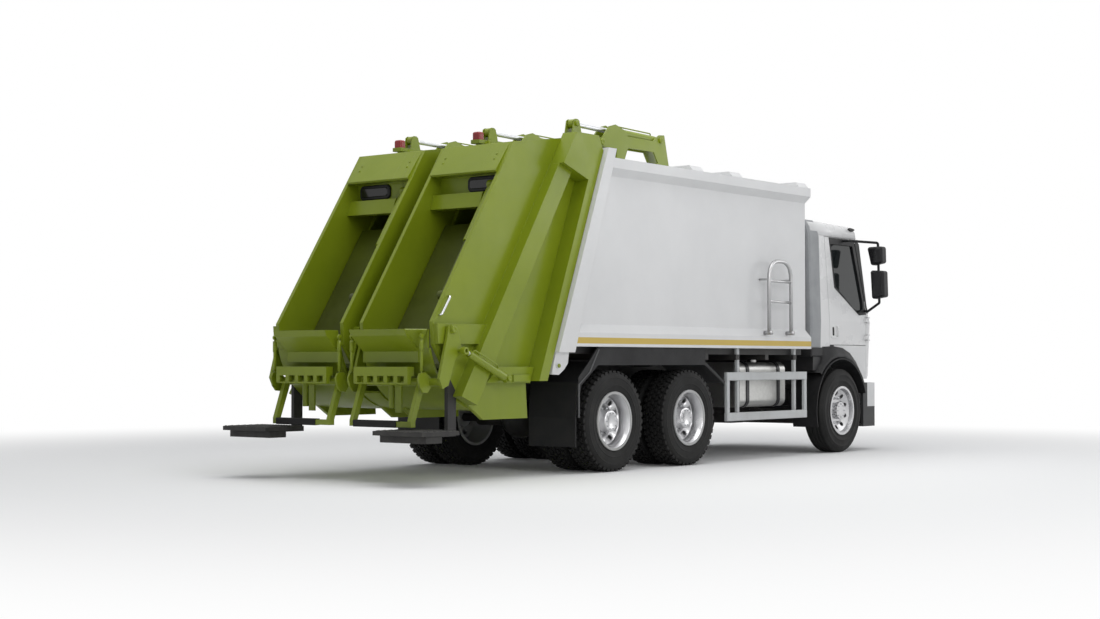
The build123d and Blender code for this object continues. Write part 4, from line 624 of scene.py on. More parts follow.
def drive_tyre():
    """A lugged tyre for the driven axles."""
    floor_r = TYRE_R - TREAD_DEEP
    parts = [tyre_case([(0.0, floor_r), (0.08, floor_r - 0.001)])]
    pitches = 44
    pitch = 2 * math.pi / pitches
    # Columns: inner edge, outer edge, stagger, share of the pitch, lean
    rows = (
        (0.004, 0.040, 0.0, 0.78, 0.010),
        (0.047, 0.082, 0.5, 0.74, -0.010),
        (0.089, 0.126, 0.25, 0.66, 0.0),
    )
    for step in range(pitches):
        for near, far, stagger, share, lean in rows:
            drop = 0.012 if far > SHOULDER else 0.0
            angle = (step + stagger) * pitch
            low, top = floor_r - 0.004 - drop, TYRE_R - drop / 3
            block = tread_block(near, far, angle, share * pitch, lean, low, top)
            parts.append(block)
            half_on = Matrix.Rotation(pitch / 2, 4, "X") @ Matrix.Scale(-1, 4, (1, 0, 0))
            parts.append(moved(block, half_on))
    return gather(parts)


def steer_tyre():
    """A ribbed tyre for the steered axle: four grooves round the crown."""
    crown = [(0.0, TYRE_R)]
    for groove in (0.028, 0.072):
        crown += [(groove - 0.006, TYRE_R), (groove - 0.004, TYRE_R - TREAD_DEEP)]
        crown += [(groove + 0.004, TYRE_R - TREAD_DEEP), (groove + 0.006, TYRE_R)]
    crown += [(0.100, TYRE_R - 0.002), (SHOULDER, TYRE_R - 0.009)]
    return tyre_case(crown)


# %% Six wheels
# Columns: name, axle position, tyre middles outward
WHEELS = (
    ("front", REAR_AXLE - 4.81, (1.066,)),
    ("middle", REAR_AXLE - 1.37, (1.091, 0.756)),
    ("rear", REAR_AXLE, (1.091, 0.756)),
)
AXLE_HEIGHT = 0.515
NUT_COUNT = 10
# Circle of the nuts or hub bolts, and where they stand: outward in front, in from the rim's edge behind
FRONT_NUTS = (0.1575, 1.112)
FRONT_BOLTS = (0.080, 1.186)
REAR_NUTS = (0.130, 0.150)
REAR_BOLTS = (0.083, 0.043)


def six_sided(radius, length):
    """A nut along +x: six flats, a chamfered nose and a domed stud end."""
    corners = []
    rings = (
        (0.0, radius), (0.75 * length, radius), (0.85 * length, 0.86 * radius),
        (0.85 * length, 0.5 * radius), (1.25 * length, 0.5 * radius), (1.35 * length, 0.3 * radius),
    )
    for x, r in rings:
        corners += [(x, r * math.cos(k * math.pi / 3), r * math.sin(k * math.pi / 3)) for k in range(6)]
    faces = []
    for ring in range(len(rings) - 1):
        for k in range(6):
            after = (k + 1) % 6
            faces.append((ring * 6 + k, ring * 6 + after, ring * 6 + 6 + after, ring * 6 + 6 + k))
    last = 6 * (len(rings) - 1)
    faces.append(tuple(last + k for k in range(6)))
    return corners, faces


def bolt_circle(part, radius, count, x):
    """Copies of a small part round a circle about the x axis."""
    copies = []
    for step in range(count):
        spin = Matrix.Rotation(2 * math.pi * step / count, 4, "X")
        copies.append(moved(part, spin @ Matrix.Translation((x, radius, 0.0))))
    return copies


# Depths are measured inward from the rim's outer edge
HOLE_COUNT = 10
HOLE_CIRCLE = 0.215
HOLE_RADIUS = 0.026
DISC_INNER = (0.182, 0.172)
DISC_OUTER = (0.249, 0.128)
BARREL_STEPS = (
    (0.002, 0.279), (0.006, 0.270), (0.022, 0.268), (0.030, 0.258), (0.058, 0.256),
    (0.068, 0.250), (0.130, 0.247), (0.136, 0.262), (0.060, 0.268), (0.010, 0.281),
)
HUB_STEPS = (
    (0.172, 0.184), (0.172, 0.150), (0.150, 0.147), (0.150, 0.112), (0.055, 0.112),
    (0.046, 0.107), (0.042, 0.099), (0.042, 0.066), (0.047, 0.060), (0.047, 0.0005),
)


def disc_sector(edge_x):
    """One tenth of a coned wheel disc, with a round hand hole through it."""
    half = math.pi / HOLE_COUNT
    (low, low_depth), (high, high_depth) = DISC_INNER, DISC_OUTER
    around = [(high, half * t / 4) for t in range(-4, 5)]
    around += [(high + (low - high) * t / 4, half) for t in range(1, 4)]
    around += [(low, -half * t / 4) for t in range(-4, 5)]
    around += [(low + (high - low) * t / 4, -half) for t in range(1, 4)]

    def on_disc(y, z, sunk):
        """A point of the cone above a place on the wheel's face."""
        share = (math.hypot(y, z) - low) / (high - low)
        return (edge_x - low_depth - share * (high_depth - low_depth) - sunk, y, z)

    rows = [[], [], []]
    for radius, angle in around:
        y, z = radius * math.sin(angle), radius * math.cos(angle)
        turn = math.atan2(y, z - HOLE_CIRCLE)
        hole_y, hole_z = HOLE_RADIUS * math.sin(turn), HOLE_CIRCLE + HOLE_RADIUS * math.cos(turn)
        rows[0].append(on_disc(y, z, 0.0))
        rows[1].append(on_disc(hole_y, hole_z, 0.0))
        rows[2].append(on_disc(hole_y, hole_z, 0.018))
    return lofted(rows, round_rows=True)


def wheel_face(edge_x):
    """A polished wheel's stepped barrel, holed disc and hub, about the x axis."""
    barrel = turned([(edge_x - depth, radius) for depth, radius in BARREL_STEPS], 72)
    hub = turned([(edge_x - depth, radius) for depth, radius in HUB_STEPS], 48, closed=False)
    sector = disc_sector(edge_x)
    spins = [Matrix.Rotation(2 * math.pi * step / HOLE_COUNT, 4, "X") for step in range(HOLE_COUNT)]
    return gather([barrel, hub] + [moved(sector, spin) for spin in spins])


lugged = drive_tyre()
ribbed = steer_tyre()
rim_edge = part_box("rim_rear_left")[1][0]
print("rim edge", round(rim_edge, 4))
driven_face = wheel_face(rim_edge)
for name, axle, middles in WHEELS:
    for side, sign in SIDES:
        outward = Matrix.Scale(sign, 4, (1, 0, 0))
        at_axle = Matrix.Translation((0.0, axle, AXLE_HEIGHT)) @ outward
        cover = ribbed if name == "front" else lugged
        places = [at_axle @ Matrix.Translation((middle, 0.0, 0.0)) for middle in middles]
        tyres = gather([moved(cover, place) for place in places])
        body = f"wheel_{name}_{side}"
        tyre = new_piece(f"treaded_tyre_{name}_{side}", *tyres, "tyre", body, smooth=name == "front")
        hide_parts(f"tyre_{name}_{side}")
        if name == "front":
            nuts = bolt_circle(six_sided(0.017, 0.026), FRONT_NUTS[0], NUT_COUNT, FRONT_NUTS[1])
            nuts += bolt_circle(six_sided(0.010, 0.010), FRONT_BOLTS[0], 8, FRONT_BOLTS[1])
        else:
            face = moved(driven_face, at_axle)
            new_piece(f"wheel_face_{name}_{side}", *face, "polished_wheel", body)
            nuts = bolt_circle(six_sided(0.015, 0.022), REAR_NUTS[0], NUT_COUNT, rim_edge - REAR_NUTS[1])
            bolt = six_sided(0.010, 0.010)
            nuts += bolt_circle(bolt, REAR_BOLTS[0], NUT_COUNT, rim_edge - REAR_BOLTS[1])
        nuts = moved(gather(nuts), at_axle)
        new_piece(f"wheel_nuts_{name}_{side}", *nuts, "worn_steel", body, smooth=False)
print("tyres and nuts on", 2 * len(WHEELS), "wheels")

# %% [markdown]
# ## Plates, pipes and caps
# The rest of the small parts are bent plate, rigid pipe and turned caps, so a few short makers cover
# nearly all of them. A plate gets its front edge cut back a few millimetres, because a sharp edge never
# catches the light and looks like paper. The measurements in the tables are metres from the rear axle,
# as they were taken, and are moved on to the truck's own origin at the last step.

# %% Makers for plates
FROM_AXLE = Matrix.Translation((0.0, REAR_AXLE, 0.0))
OTHER_SIDE = Matrix.Scale(-1, 4, (1, 0, 0))


def drawn_in(outline, draw):
    """A closed outline moved inward by draw, each corner along its own bisector."""
    turns = zip(outline, outline[1:] + outline[:1])
    side = math.copysign(1.0, sum(a[0] * b[1] - b[0] * a[1] for a, b in turns))
    shrunk = []
    for index, (y, z) in enumerate(outline):
        before, after = outline[index - 1], outline[(index + 1) % len(outline)]
        first = Vector((y - before[0], z - before[1])).normalized()
        second = Vector((after[0] - y, after[1] - z)).normalized()
        inward = Vector((-first.y - second.y, first.x + second.x)) * side
        reach = 2 * draw / max(inward.length_squared, 0.2)
        shrunk.append((y + inward.x * reach, z + inward.y * reach))
    return shrunk


def slab(outline, back, face, draw=0.004):
    """A plate of a (y, z) outline from x = back to x = face, its face edge cut back by draw."""
    step = math.copysign(draw, face - back)
    rows = [[(x, y, z) for y, z in ring] for x, ring in (
        (back, outline), (face - step, outline), (face, drawn_in(outline, draw)),
    )]
    return closed_form(rows)


def rounded(width, height, radius, steps=5):
    """A rounded rectangle about the origin."""
    outline = []
    for quarter, (y, z) in enumerate(((1, 1), (-1, 1), (-1, -1), (1, -1))):
        for step in range(steps + 1):
            angle = (quarter + step / steps) * math.pi / 2
            corner = (y * (width / 2 - radius), z * (height / 2 - radius))
            outline.append((corner[0] + radius * math.cos(angle), corner[1] + radius * math.sin(angle)))
    return outline


def facing(origin, normal, across=(1.0, 0.0, 0.0)):
    """A matrix that lays a plate's x along normal and its y along across, at a place from the axle."""
    out = Vector(normal).normalized()
    side = Vector(across)
    side = (side - out * side.dot(out)).normalized()
    turn = Matrix((out, side, out.cross(side))).transposed().to_4x4()
    return FROM_AXLE @ Matrix.Translation(origin) @ turn


def both(part):
    """A part with its mirror image on the other side of the truck."""
    return gather([part, moved(part, OTHER_SIDE)])


# %% Makers for pipes, caps and skins
def cap(radius, length):
    """A turned pin head along +x with a rounded rim and a centre dimple."""
    rim = 0.2 * radius
    outline = [
        (-0.004, radius), (length - rim, radius), (length - 0.3 * rim, radius - 0.3 * rim),
        (length, radius - rim), (length, 0.36 * radius), (length - 0.4 * rim, 0.26 * radius),
        (length - 0.4 * rim, 0.0005),
    ]
    return turned(outline, 28, closed=False)


def pipe(points, radius, bend, sides=12):
    """A rigid pipe through points with its corners rounded off over bend metres."""
    stops = [Vector(point) for point in points]
    path = [stops[0]]
    for before, corner, after in zip(stops, stops[1:], stops[2:]):
        start = corner + (before - corner).normalized() * bend
        end = corner + (after - corner).normalized() * bend
        for step in range(7):
            t = step / 6
            path.append(start * (1 - t) ** 2 + corner * 2 * t * (1 - t) + end * t ** 2)
    path.append(stops[-1])
    rows = []
    for index, centre in enumerate(path):
        along = path[min(index + 1, len(path) - 1)] - path[max(index - 1, 0)]
        side = along.cross(Vector((0.31, 0.42, 0.85))).normalized()
        up = side.cross(along).normalized()
        ring = [2 * math.pi * step / sides for step in range(sides)]
        rows.append([centre + radius * (side * math.cos(a) + up * math.sin(a)) for a in ring])
    return closed_form(rows)


def ray_trees(solids):
    """A search tree for each of some solids, to be met with rays."""
    trees = []
    for solid in solids:
        mesh = frame["nodes"][solid].data
        corners = [vertex.co for vertex in mesh.vertices]
        trees.append(BVHTree.FromPolygons(corners, [face.vertices for face in mesh.polygons]))
    return trees


def feeler(*solids):
    """A function that gives the outermost x of some solids at a (y, z) from the axle, on one side."""
    trees = ray_trees(solids)

    def outermost(y, z, sign):
        """The x of the first surface met from outside, or nought where there is none."""
        start = Vector((4.0 * sign, y + REAR_AXLE, z))
        hits = [tree.ray_cast(start, Vector((-sign, 0.0, 0.0)))[0] for tree in trees]
        return sign * max([sign * hit.x for hit in hits if hit] + [0.0])

    return outermost


def skin(edge, other_edge, feel, sign, lift, sunk=0.006, pieces=4, closed=False, level=None):
    """A band between two edges of equally many (y, z) points; its face is at level, or where feel is."""
    rows = [[], [], [], []]
    count = len(edge)
    for index in range(count if closed else count - 1):
        after = (index + 1) % count
        for step in range(pieces + (index == count - 2 and not closed)):
            t = step / pieces
            for line, high, low in ((edge, 1, 0), (other_edge, 2, 3)):
                y = line[index][0] * (1 - t) + line[after][0] * t
                z = line[index][1] * (1 - t) + line[after][1] * t
                x = feel(y, z, sign)
                face = level(y, z, sign) if level else x
                rows[high].append((face + sign * lift, y + REAR_AXLE, z))
                rows[low].append((x - sign * sunk, y + REAR_AXLE, z))
    return lofted(rows, round_rows=closed, round_columns=True)


print("makers ready")

# %% [markdown]
# ## Hopper headers and pins
# Above each hopper's mouth the header plate ends in a lip, and behind the lip a panel is set back with a
# smoked lamp on it, over a square beam. In the solids the header is one folded plate, so here it is drawn
# again as a single folded outline and stretched across the bay. The pins of the tailgate, the cylinders
# and the bin lifts end in turned heads, and each head is set on whatever surface is outermost there,
# found with a ray, so it can neither float nor sink in.

# %% Headers with recessed lamps
# The folded outline in y and z: inside of the roof and plate, lamp panel and beam, then lip and plate
UNDER_FOLD = [
    (0.640, 3.345), (0.190, 3.274), (0.190, 3.256), (0.640, 3.321), (1.340, 3.214), (1.566, 2.944),
    (1.430, 2.944),
]
BEAM_FOLD = [
    (1.430, 2.742), (1.538, 2.740), (1.578, 2.622), (1.480, 2.616), (1.480, 2.602), (1.600, 2.606),
    (1.553, 2.756), (1.446, 2.758),
]
LIP_FOLD = [(1.446, 2.930), (1.594, 2.930), (1.605, 2.947), (1.382, 3.239)]
HEADER_FOLD = UNDER_FOLD + BEAM_FOLD + LIP_FOLD
# Without the beam, for the notch that the packer's cylinder passes through
NOTCH_FOLD = UNDER_FOLD + [(1.430, 2.602), (1.446, 2.602)] + LIP_FOLD
HEADER_TOP = LIP_FOLD[-1]
HEADER_FALL = (0.607, 0.795)
BAY_X = (0.150, 0.990)
NOTCH_X = {"left": (0.225, 0.355), "right": (0.785, 0.915)}
for side, sign in SIDES:
    cuts = (BAY_X[0], *NOTCH_X[side], BAY_X[1])
    folds = []
    for low, high, outline in zip(cuts, cuts[1:], (HEADER_FOLD, NOTCH_FOLD, HEADER_FOLD)):
        folds.append(slab(outline, sign * low, sign * high, 0.0005))
    fold = gather(folds)
    header = new_piece(f"header_{side}", *moved(fold, FROM_AXLE), "green_paint", "tailgate", smooth=False)
    if side == "left":
        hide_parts("hopper_headers")
    panel = facing((0.73 * sign, 1.446, 2.842), (0.0, 1.0, 0.0))
    bezel = moved(slab(rounded(0.42, 0.150, 0.050), -0.006, 0.022, 0.008), panel)
    new_piece(f"lamp_bezel_{side}", *bezel, "charcoal", "tailgate", smooth=False)
    lens = moved(slab(rounded(0.365, 0.095, 0.030), 0.010, 0.028, 0.008), panel)
    new_piece(f"smoked_lens_{side}", *lens, "dark_lens", "tailgate", smooth=False)
    bolts = []
    for bolt_x in (0.24, 0.90):
        for down in (0.150, 0.215):
            spot_y = HEADER_TOP[0] + HEADER_FALL[0] * down
            spot = (bolt_x * sign, spot_y, HEADER_TOP[1] - HEADER_FALL[1] * down)
            bolts.append(moved(cap(0.011, 0.006), facing(spot, (0.0, HEADER_FALL[1], HEADER_FALL[0]))))
    new_piece(f"header_bolts_{side}", *gather(bolts), "green_paint", "tailgate", smooth=False)
print("headers", len(SIDES))

# %% Pin heads
# Columns: name, y, z, radius, length, solids it may sit on, body (a star stands for the side)
PINS = (
    ("tailgate_hinge", 0.119, 3.349, 0.036, 0.020, ("roof_brackets", "tailgate_frame"), "tailgate"),
    ("lift_barrel_pin", -0.926, 3.466, 0.030, 0.018, ("roof_brackets", "lift_barrels"), "chassis"),
    ("lift_eye_pin", 0.519, 3.495, 0.028, 0.018, ("tailgate_frame", "lift_rods"), "tailgate"),
    ("bin_pivot", 2.360, 1.410, 0.034, 0.016, ("hopper_walls", "bin_lift_*"), "bin_lift_*"),
    ("tipper_pin", 1.671, 0.958, 0.030, 0.016, ("hopper_walls", "tipper_barrel_*"), "tailgate"),
    ("bin_ear_pin", 2.277, 1.216, 0.024, 0.014, ("bin_lift_*", "tipper_rod_*"), "bin_lift_*"),
    ("latch_bolt", 0.917, 1.077, 0.020, 0.012, ("body_rear_frame",), "chassis"),
)
for name, y, z, radius, length, solids, body in PINS:
    for side, sign in SIDES:
        feel = feeler(*[solid.replace("*", side) for solid in solids])
        x = feel(y, z, sign)
        head = moved(cap(radius, length), facing((x, y, z), (sign, 0.0, 0.0), (0.0, 1.0, 0.0)))
        new_piece(f"{name}_head_{side}", *head, "green_paint", body.replace("*", side))
print("pin heads", 2 * len(PINS))

# %% [markdown]
# ## Cylinder pipes and steps
# The lifting and tipping cylinders have a steel pipe along the barrel, turned in to it at both ends. It
# is rigid, because it is bent from tube. The step boards are pressed with rows of small raised teeth,
# which stop a boot from slipping.

# %% Pipes along the barrels
PIPE_R = 0.007
for side, sign in SIDES:
    x = 1.225 * sign
    barrel_x = x - 0.030 * sign
    run = [(barrel_x, 2.186, 1.196), (x, 2.180, 1.222), (x, 1.842, 1.083), (barrel_x, 1.822, 1.050)]
    tipper_pipe = moved(pipe(run, PIPE_R, 0.018), FROM_AXLE)
    new_piece(f"tipper_pipe_{side}", *tipper_pipe, "cylinder_grey", f"tipper_barrel_{side}")
lift_pipes = []
for lift_x in (1.09, 0.0, -1.09):
    run = [
        (lift_x, -0.840, 3.500), (lift_x, -0.840, 3.536), (lift_x, -0.215, 3.548), (lift_x, -0.215, 3.512),
    ]
    lift_pipes.append(moved(pipe(run, PIPE_R, 0.016), FROM_AXLE))
new_piece("lift_pipes", *gather(lift_pipes), "cylinder_grey", "lift_barrels")
print("pipes on five barrels")

# %% Teeth on the step boards
STEP_X = (0.72, 1.28)
STEP_Y = (2.50, 2.955)
STEP_TOP = 0.495


def boot_tooth(x, y, half, height):
    """A small four-sided tooth with a flat top, standing on the step board."""
    rows = []
    for size, z in ((half, STEP_TOP - 0.002), (half * 0.55, STEP_TOP + height)):
        square = ((-size, -size), (size, -size), (size, size), (-size, size))
        rows.append([(x + across, y + along, z) for across, along in square])
    corners, faces = lofted(rows, round_rows=True)
    return corners, faces + [(4, 5, 6, 7)]


teeth = []
for column in range(15):
    for row in range(12):
        tooth_x = STEP_X[0] + (STEP_X[1] - STEP_X[0]) * (column + 0.5 * (row % 2)) / 14.5
        tooth_y = STEP_Y[0] + (STEP_Y[1] - STEP_Y[0]) * row / 11
        teeth.append(boot_tooth(tooth_x, tooth_y, 0.011, 0.006))
new_piece("step_teeth", *moved(both(gather(teeth)), FROM_AXLE), "chassis_black", "tailgate", smooth=False)
print("step teeth", 2 * len(teeth))

# %% [markdown]
# ## Cab trim
# The cab's lower edge is a dark moulded wheel arch, and behind the doors a grey panel closes the gap to
# the body. The side windows have a black painted border. The arches and borders follow a curved shell,
# so their points are laid on it one by one with the same ray that set the pin heads, and the panels
# keep to the shell's own width at each height.

# %% Wheel arches
FRONT_AXLE = (-4.81, 0.515)
ARCH_INNER = 0.655
ARCH_CREST = 0.700
ARCH_OUT = 1.196
# Columns: degrees from straight behind, y and z of the outer edge
ARCH_OUTER = (
    (42, -4.205, 0.96), (48, -4.203, 1.12), (56, -4.205, 1.275), (68, -4.43, 1.298), (82, -4.70, 1.306),
    (98, -4.93, 1.285), (114, -5.12, 1.222), (130, -5.28, 1.115), (142, -5.392, 1.000), (152, -5.428, 0.920),
)
cab_side = feeler("cab_floor", "cab_rear_wall", "cab_front", "door_left", "door_right")


def arch_row(radius, x):
    """Points on a circle about the front axle, at one distance outward."""
    turns = [math.radians(row[0]) for row in ARCH_OUTER]
    return [(x, FRONT_AXLE[0] + radius * math.cos(a), FRONT_AXLE[1] + radius * math.sin(a)) for a in turns]


rim_row = [(cab_side(y, z, 1) + 0.010, y, z) for _, y, z in ARCH_OUTER]
foot_row = [(x - 0.020, y, z) for x, y, z in rim_row]
arch = lofted([
    foot_row, rim_row, arch_row(ARCH_CREST, ARCH_OUT - 0.012), arch_row(ARCH_CREST - 0.012, ARCH_OUT),
    arch_row(ARCH_INNER + 0.006, ARCH_OUT), arch_row(ARCH_INNER, ARCH_OUT - 0.010),
    arch_row(ARCH_INNER, 1.09),
])
new_piece("wheel_arches", *moved(both(arch), FROM_AXLE), "arch_grey", "cab")
print("arch points", len(ARCH_OUTER))

# %% Arch returns under the corner panels
RETURN = [(-4.405, 1.180), (-4.128, 1.180), (-4.128, 1.287), (-4.405, 1.287)]
arch_return = slab(RETURN, 0.900, 1.166, 0.012)
new_piece("arch_returns", *moved(both(arch_return), FROM_AXLE), "arch_grey", "cab", smooth=False)
print("arch returns", RETURN[0], "to", RETURN[2])

# %% Rear corner panels
def cab_half(z):
    """Half the cab's width at a height above the waist, as the solids have it."""
    if z < 1.618:
        return 1.130 + 0.020 * (z - 0.940) / 0.678
    return 1.150 - 0.030 * (z - 1.618) / 1.059


PANEL_Y = (-4.385, -4.125)
PANEL_ROWS = ((1.290, 0.0), (1.618, 0.0), (2.640, 0.0), (2.760, -0.030), (2.842, -0.085))
panels = []
for side, sign in SIDES:
    rows = []
    ahead, behind = PANEL_Y
    for z, drawn in PANEL_ROWS:
        face_x = cab_half(min(z, 2.64)) + drawn
        plan = [
            (face_x - 0.010, ahead), (face_x + 0.004, ahead + 0.003), (face_x + 0.012, ahead + 0.020),
            (face_x + 0.012, behind - 0.040), (face_x, behind - 0.008), (face_x - 0.030, behind),
            (face_x - 0.060, behind), (face_x - 0.060, behind - 0.020), (face_x - 0.022, behind - 0.030),
            (face_x - 0.010, behind - 0.060),
        ]
        rows.append([(sign * px, py, z) for px, py in plan])
    panels.append(closed_form(rows))
new_piece("corner_panels", *moved(gather(panels), FROM_AXLE), "fairing_grey", "cab", smooth=False)
print("corner panels with", len(PANEL_ROWS), "rows")

# %% Window borders, pillars and door handles
# Matching corners of the border's outer and inner edge
BORDER_OUTER = (
    (-4.640, 2.646), (-5.269, 2.646), (-5.294, 2.560), (-5.491, 1.880), (-5.538, 1.712), (-5.362, 1.700),
    (-4.744, 2.028), (-4.684, 2.394),
)
BORDER_INNER = (
    (-4.668, 2.565), (-5.226, 2.565), (-5.238, 2.530), (-5.455, 1.853), (-5.455, 1.775), (-5.328, 1.724),
    (-4.769, 2.043), (-4.704, 2.380),
)
# Columns: height, door edge, front of the upright corner, where it meets the windscreen in x and y
CORNER_ROWS = (
    (1.715, -5.556, -5.650, 0.958, -5.744), (1.950, -5.489, -5.610, 0.950, -5.636),
    (2.300, -5.388, -5.535, 0.940, -5.470), (2.655, -5.284, -5.448, 0.931, -5.300),
)
PILLAR_DOOR_EDGE = ((-5.290, 2.640), (-5.300, 2.600), (-5.522, 1.835), (-5.552, 1.730))
PILLAR_FRONT_EDGE = ((-5.330, 2.640), (-5.405, 2.600), (-5.552, 1.835), (-5.600, 1.730))
GRIP = ((-4.640, -4.840), (1.405, 1.573))


def corner_face(y, z, sign):
    """The flat outer face of the upright corner."""
    return sign * (cab_half(z) + 0.004)


for side, sign in SIDES:
    door_body = f"door_{side}"
    door_skin = feeler(f"door_{side}", f"door_glass_{side}")
    border = skin(BORDER_OUTER, BORDER_INNER, door_skin, sign, 0.003, closed=True, level=corner_face)
    new_piece(f"window_border_{side}", *border, "mirror_black", door_body, smooth=False)
    rows = []
    for z, door_edge, front, screen_x, screen_y in CORNER_ROWS:
        x = cab_half(z)
        plan = [
            (x - 0.020, door_edge), (x + 0.004, door_edge), (x + 0.004, front + 0.080),
            (x - 0.006, front + 0.045), (x - 0.030, front + 0.016), (x - 0.070, front),
            (screen_x + 0.020, (front + screen_y) / 2), (screen_x, screen_y + 0.010),
        ]
        rows.append([(sign * px, py, z) for px, py in plan])
    new_piece(f"upright_corner_{side}", *moved(lofted(rows), FROM_AXLE), "cab_white", "cab")
    pillar = skin(PILLAR_DOOR_EDGE, PILLAR_FRONT_EDGE, corner_face, sign, 0.003, pieces=6)
    new_piece(f"pillar_trim_{side}", *pillar, "mirror_black", "cab", smooth=False)
    grip_y, grip_z = sum(GRIP[0]) / 2, sum(GRIP[1]) / 2
    grip_x = door_skin(grip_y, grip_z, sign)
    door_face = facing((grip_x, grip_y, grip_z), (sign, 0.0, 0.02), (0.0, 1.0, 0.0))
    plate = slab(rounded(GRIP[0][0] - GRIP[0][1], GRIP[1][1] - GRIP[1][0], 0.03), -0.012, 0.004, 0.003)
    new_piece(f"handle_plate_{side}", *moved(plate, door_face), "cab_white", door_body, smooth=False)
    slot = slab(rounded(0.045, 0.105, 0.012), -0.002, 0.006, 0.002)
    slot_face = door_face @ Matrix.Translation((0.0, 0.045, 0.0))
    new_piece(f"handle_slot_{side}", *moved(slot, slot_face), "arch_grey", door_body, smooth=False)
    pull = [(0.0, -0.045, -0.060), (0.026, -0.045, -0.050), (0.026, -0.045, 0.050), (0.0, -0.045, 0.060)]
    new_piece(f"handle_pull_{side}", *moved(pipe(pull, 0.011, 0.016), door_face), "cab_white", door_body)
print("windows and handles on", len(SIDES), "doors")

# %% Roof with a brow
ROOF_REAR = -4.190
# Columns: height at the front, rise to the rear, half width, straight side's end, corner x and y, front
ROOF_ROWS = (
    (2.661, 0.0, 1.118, -5.160, 0.930, -5.290, -5.345),
    (2.664, 0.0, 1.122, -5.330, 1.005, -5.448, -5.520),
    (2.740, 0.0, 1.112, -5.325, 0.995, -5.440, -5.512),
    (2.785, 0.010, 1.088, -5.300, 0.970, -5.412, -5.485),
    (2.808, 0.030, 1.045, -5.255, 0.925, -5.360, -5.430),
    (2.815, 0.042, 0.980, -5.180, 0.850, -5.270, -5.330),
    (2.820, 0.048, 0.500, -4.900, 0.400, -4.960, -4.990),
)
rows = []
for z, rise, half, side_end, corner_x, corner_y, front in ROOF_ROWS:
    inset = 0.030 if half > 1.0 else 0.120
    back = ROOF_REAR - inset * (1.122 - half) * 4
    quarter = [(half, back), (half, (back + side_end) / 2), (half, side_end)]
    quarter += [(half - 0.035, side_end - 0.6 * (side_end - corner_y)), (corner_x, corner_y)]
    quarter += [(0.55 * corner_x, corner_y + 0.72 * (front - corner_y)), (0.0, front)]
    outline = quarter + [(-x, y) for x, y in reversed(quarter[:-1])]
    slope = [(x, y, z + rise * (y - front) / (back - front)) for x, y in outline]
    rows.append(slope)
corners, faces = lofted(rows, round_rows=True)
count = len(rows[0])
roof_form = (corners, faces + [tuple(range(len(corners) - count, len(corners)))])
roof = new_piece("brow_roof", *moved(roof_form, FROM_AXLE), "cab_white", "cab")
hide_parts("cab_roof")
drop = [(0.075, 0.0), (0.050, 0.022), (0.0, 0.028), (-0.060, 0.016), (-0.090, 0.0), (-0.060, -0.014)]
drop += [(0.0, -0.022), (0.050, -0.018)]
markers = []
for side, sign in SIDES:
    on_brow = facing((1.098 * sign, -5.245, 2.776), (sign, 0.0, 0.45), (0, 1, 0))
    markers.append(moved(slab(drop, -0.010, 0.016, 0.006), on_brow))
new_piece("roof_markers", *gather(markers), "mirror_black", "cab", smooth=False)
print("roof rows", len(ROOF_ROWS))

# %% Mirror glass
# Columns: x outward and z of the housing's corners
MIRROR_FACES = (
    ((1.320, 2.550), (1.530, 2.553), (1.535, 2.346), (1.375, 2.315)),
    ((1.365, 2.258), (1.550, 2.247), (1.560, 1.922), (1.385, 1.895)),
)
MIRROR_BACK = -5.240
SWAP_XY = Matrix(((0, 1, 0, 0), (1, 0, 0, 0), (0, 0, 1, 0), (0, 0, 0, 1)))
PANE_Y = (MIRROR_BACK - 0.004, MIRROR_BACK + 0.003)
for side, sign in SIDES:
    panes = [slab(drawn_in(list(face), 0.026), *PANE_Y, 0.002) for face in MIRROR_FACES]
    placed = moved(moved(gather(panes), SWAP_XY), FROM_AXLE)
    if sign < 0:
        placed = moved(placed, OTHER_SIDE)
    new_piece(f"mirror_panes_{side}", *placed, "dark_lens", f"door_{side}", smooth=False)
print("mirror panes", 2 * len(MIRROR_FACES))

# %% [markdown]
# ## Front of the cab
# The camera never sees the front, but the truck is turned round in other scenes. A ray from ahead finds
# the cab's curved face, so the grille bars, the screen's black edge and the wipers follow it. The lamps
# sit back in their pockets in the bumper, so they can't be knocked off.

# %% Feeling the face from ahead
def face_ahead(*solids):
    """A function that gives the foremost y, from the axle, of some solids at an (x, z)."""
    trees = ray_trees(solids)

    def foremost(x, z):
        """The y of the first surface met from ahead."""
        start = Vector((x, -9.0, z))
        hits = [tree.ray_cast(start, Vector((0.0, 1.0, 0.0)))[0] for tree in trees]
        return min([hit.y for hit in hits if hit] + [REAR_AXLE - 5.0]) - REAR_AXLE

    return foremost


cab_face = face_ahead("cab_front", "windscreen")
print("face at the middle", round(cab_face(0.0, 1.5), 3))

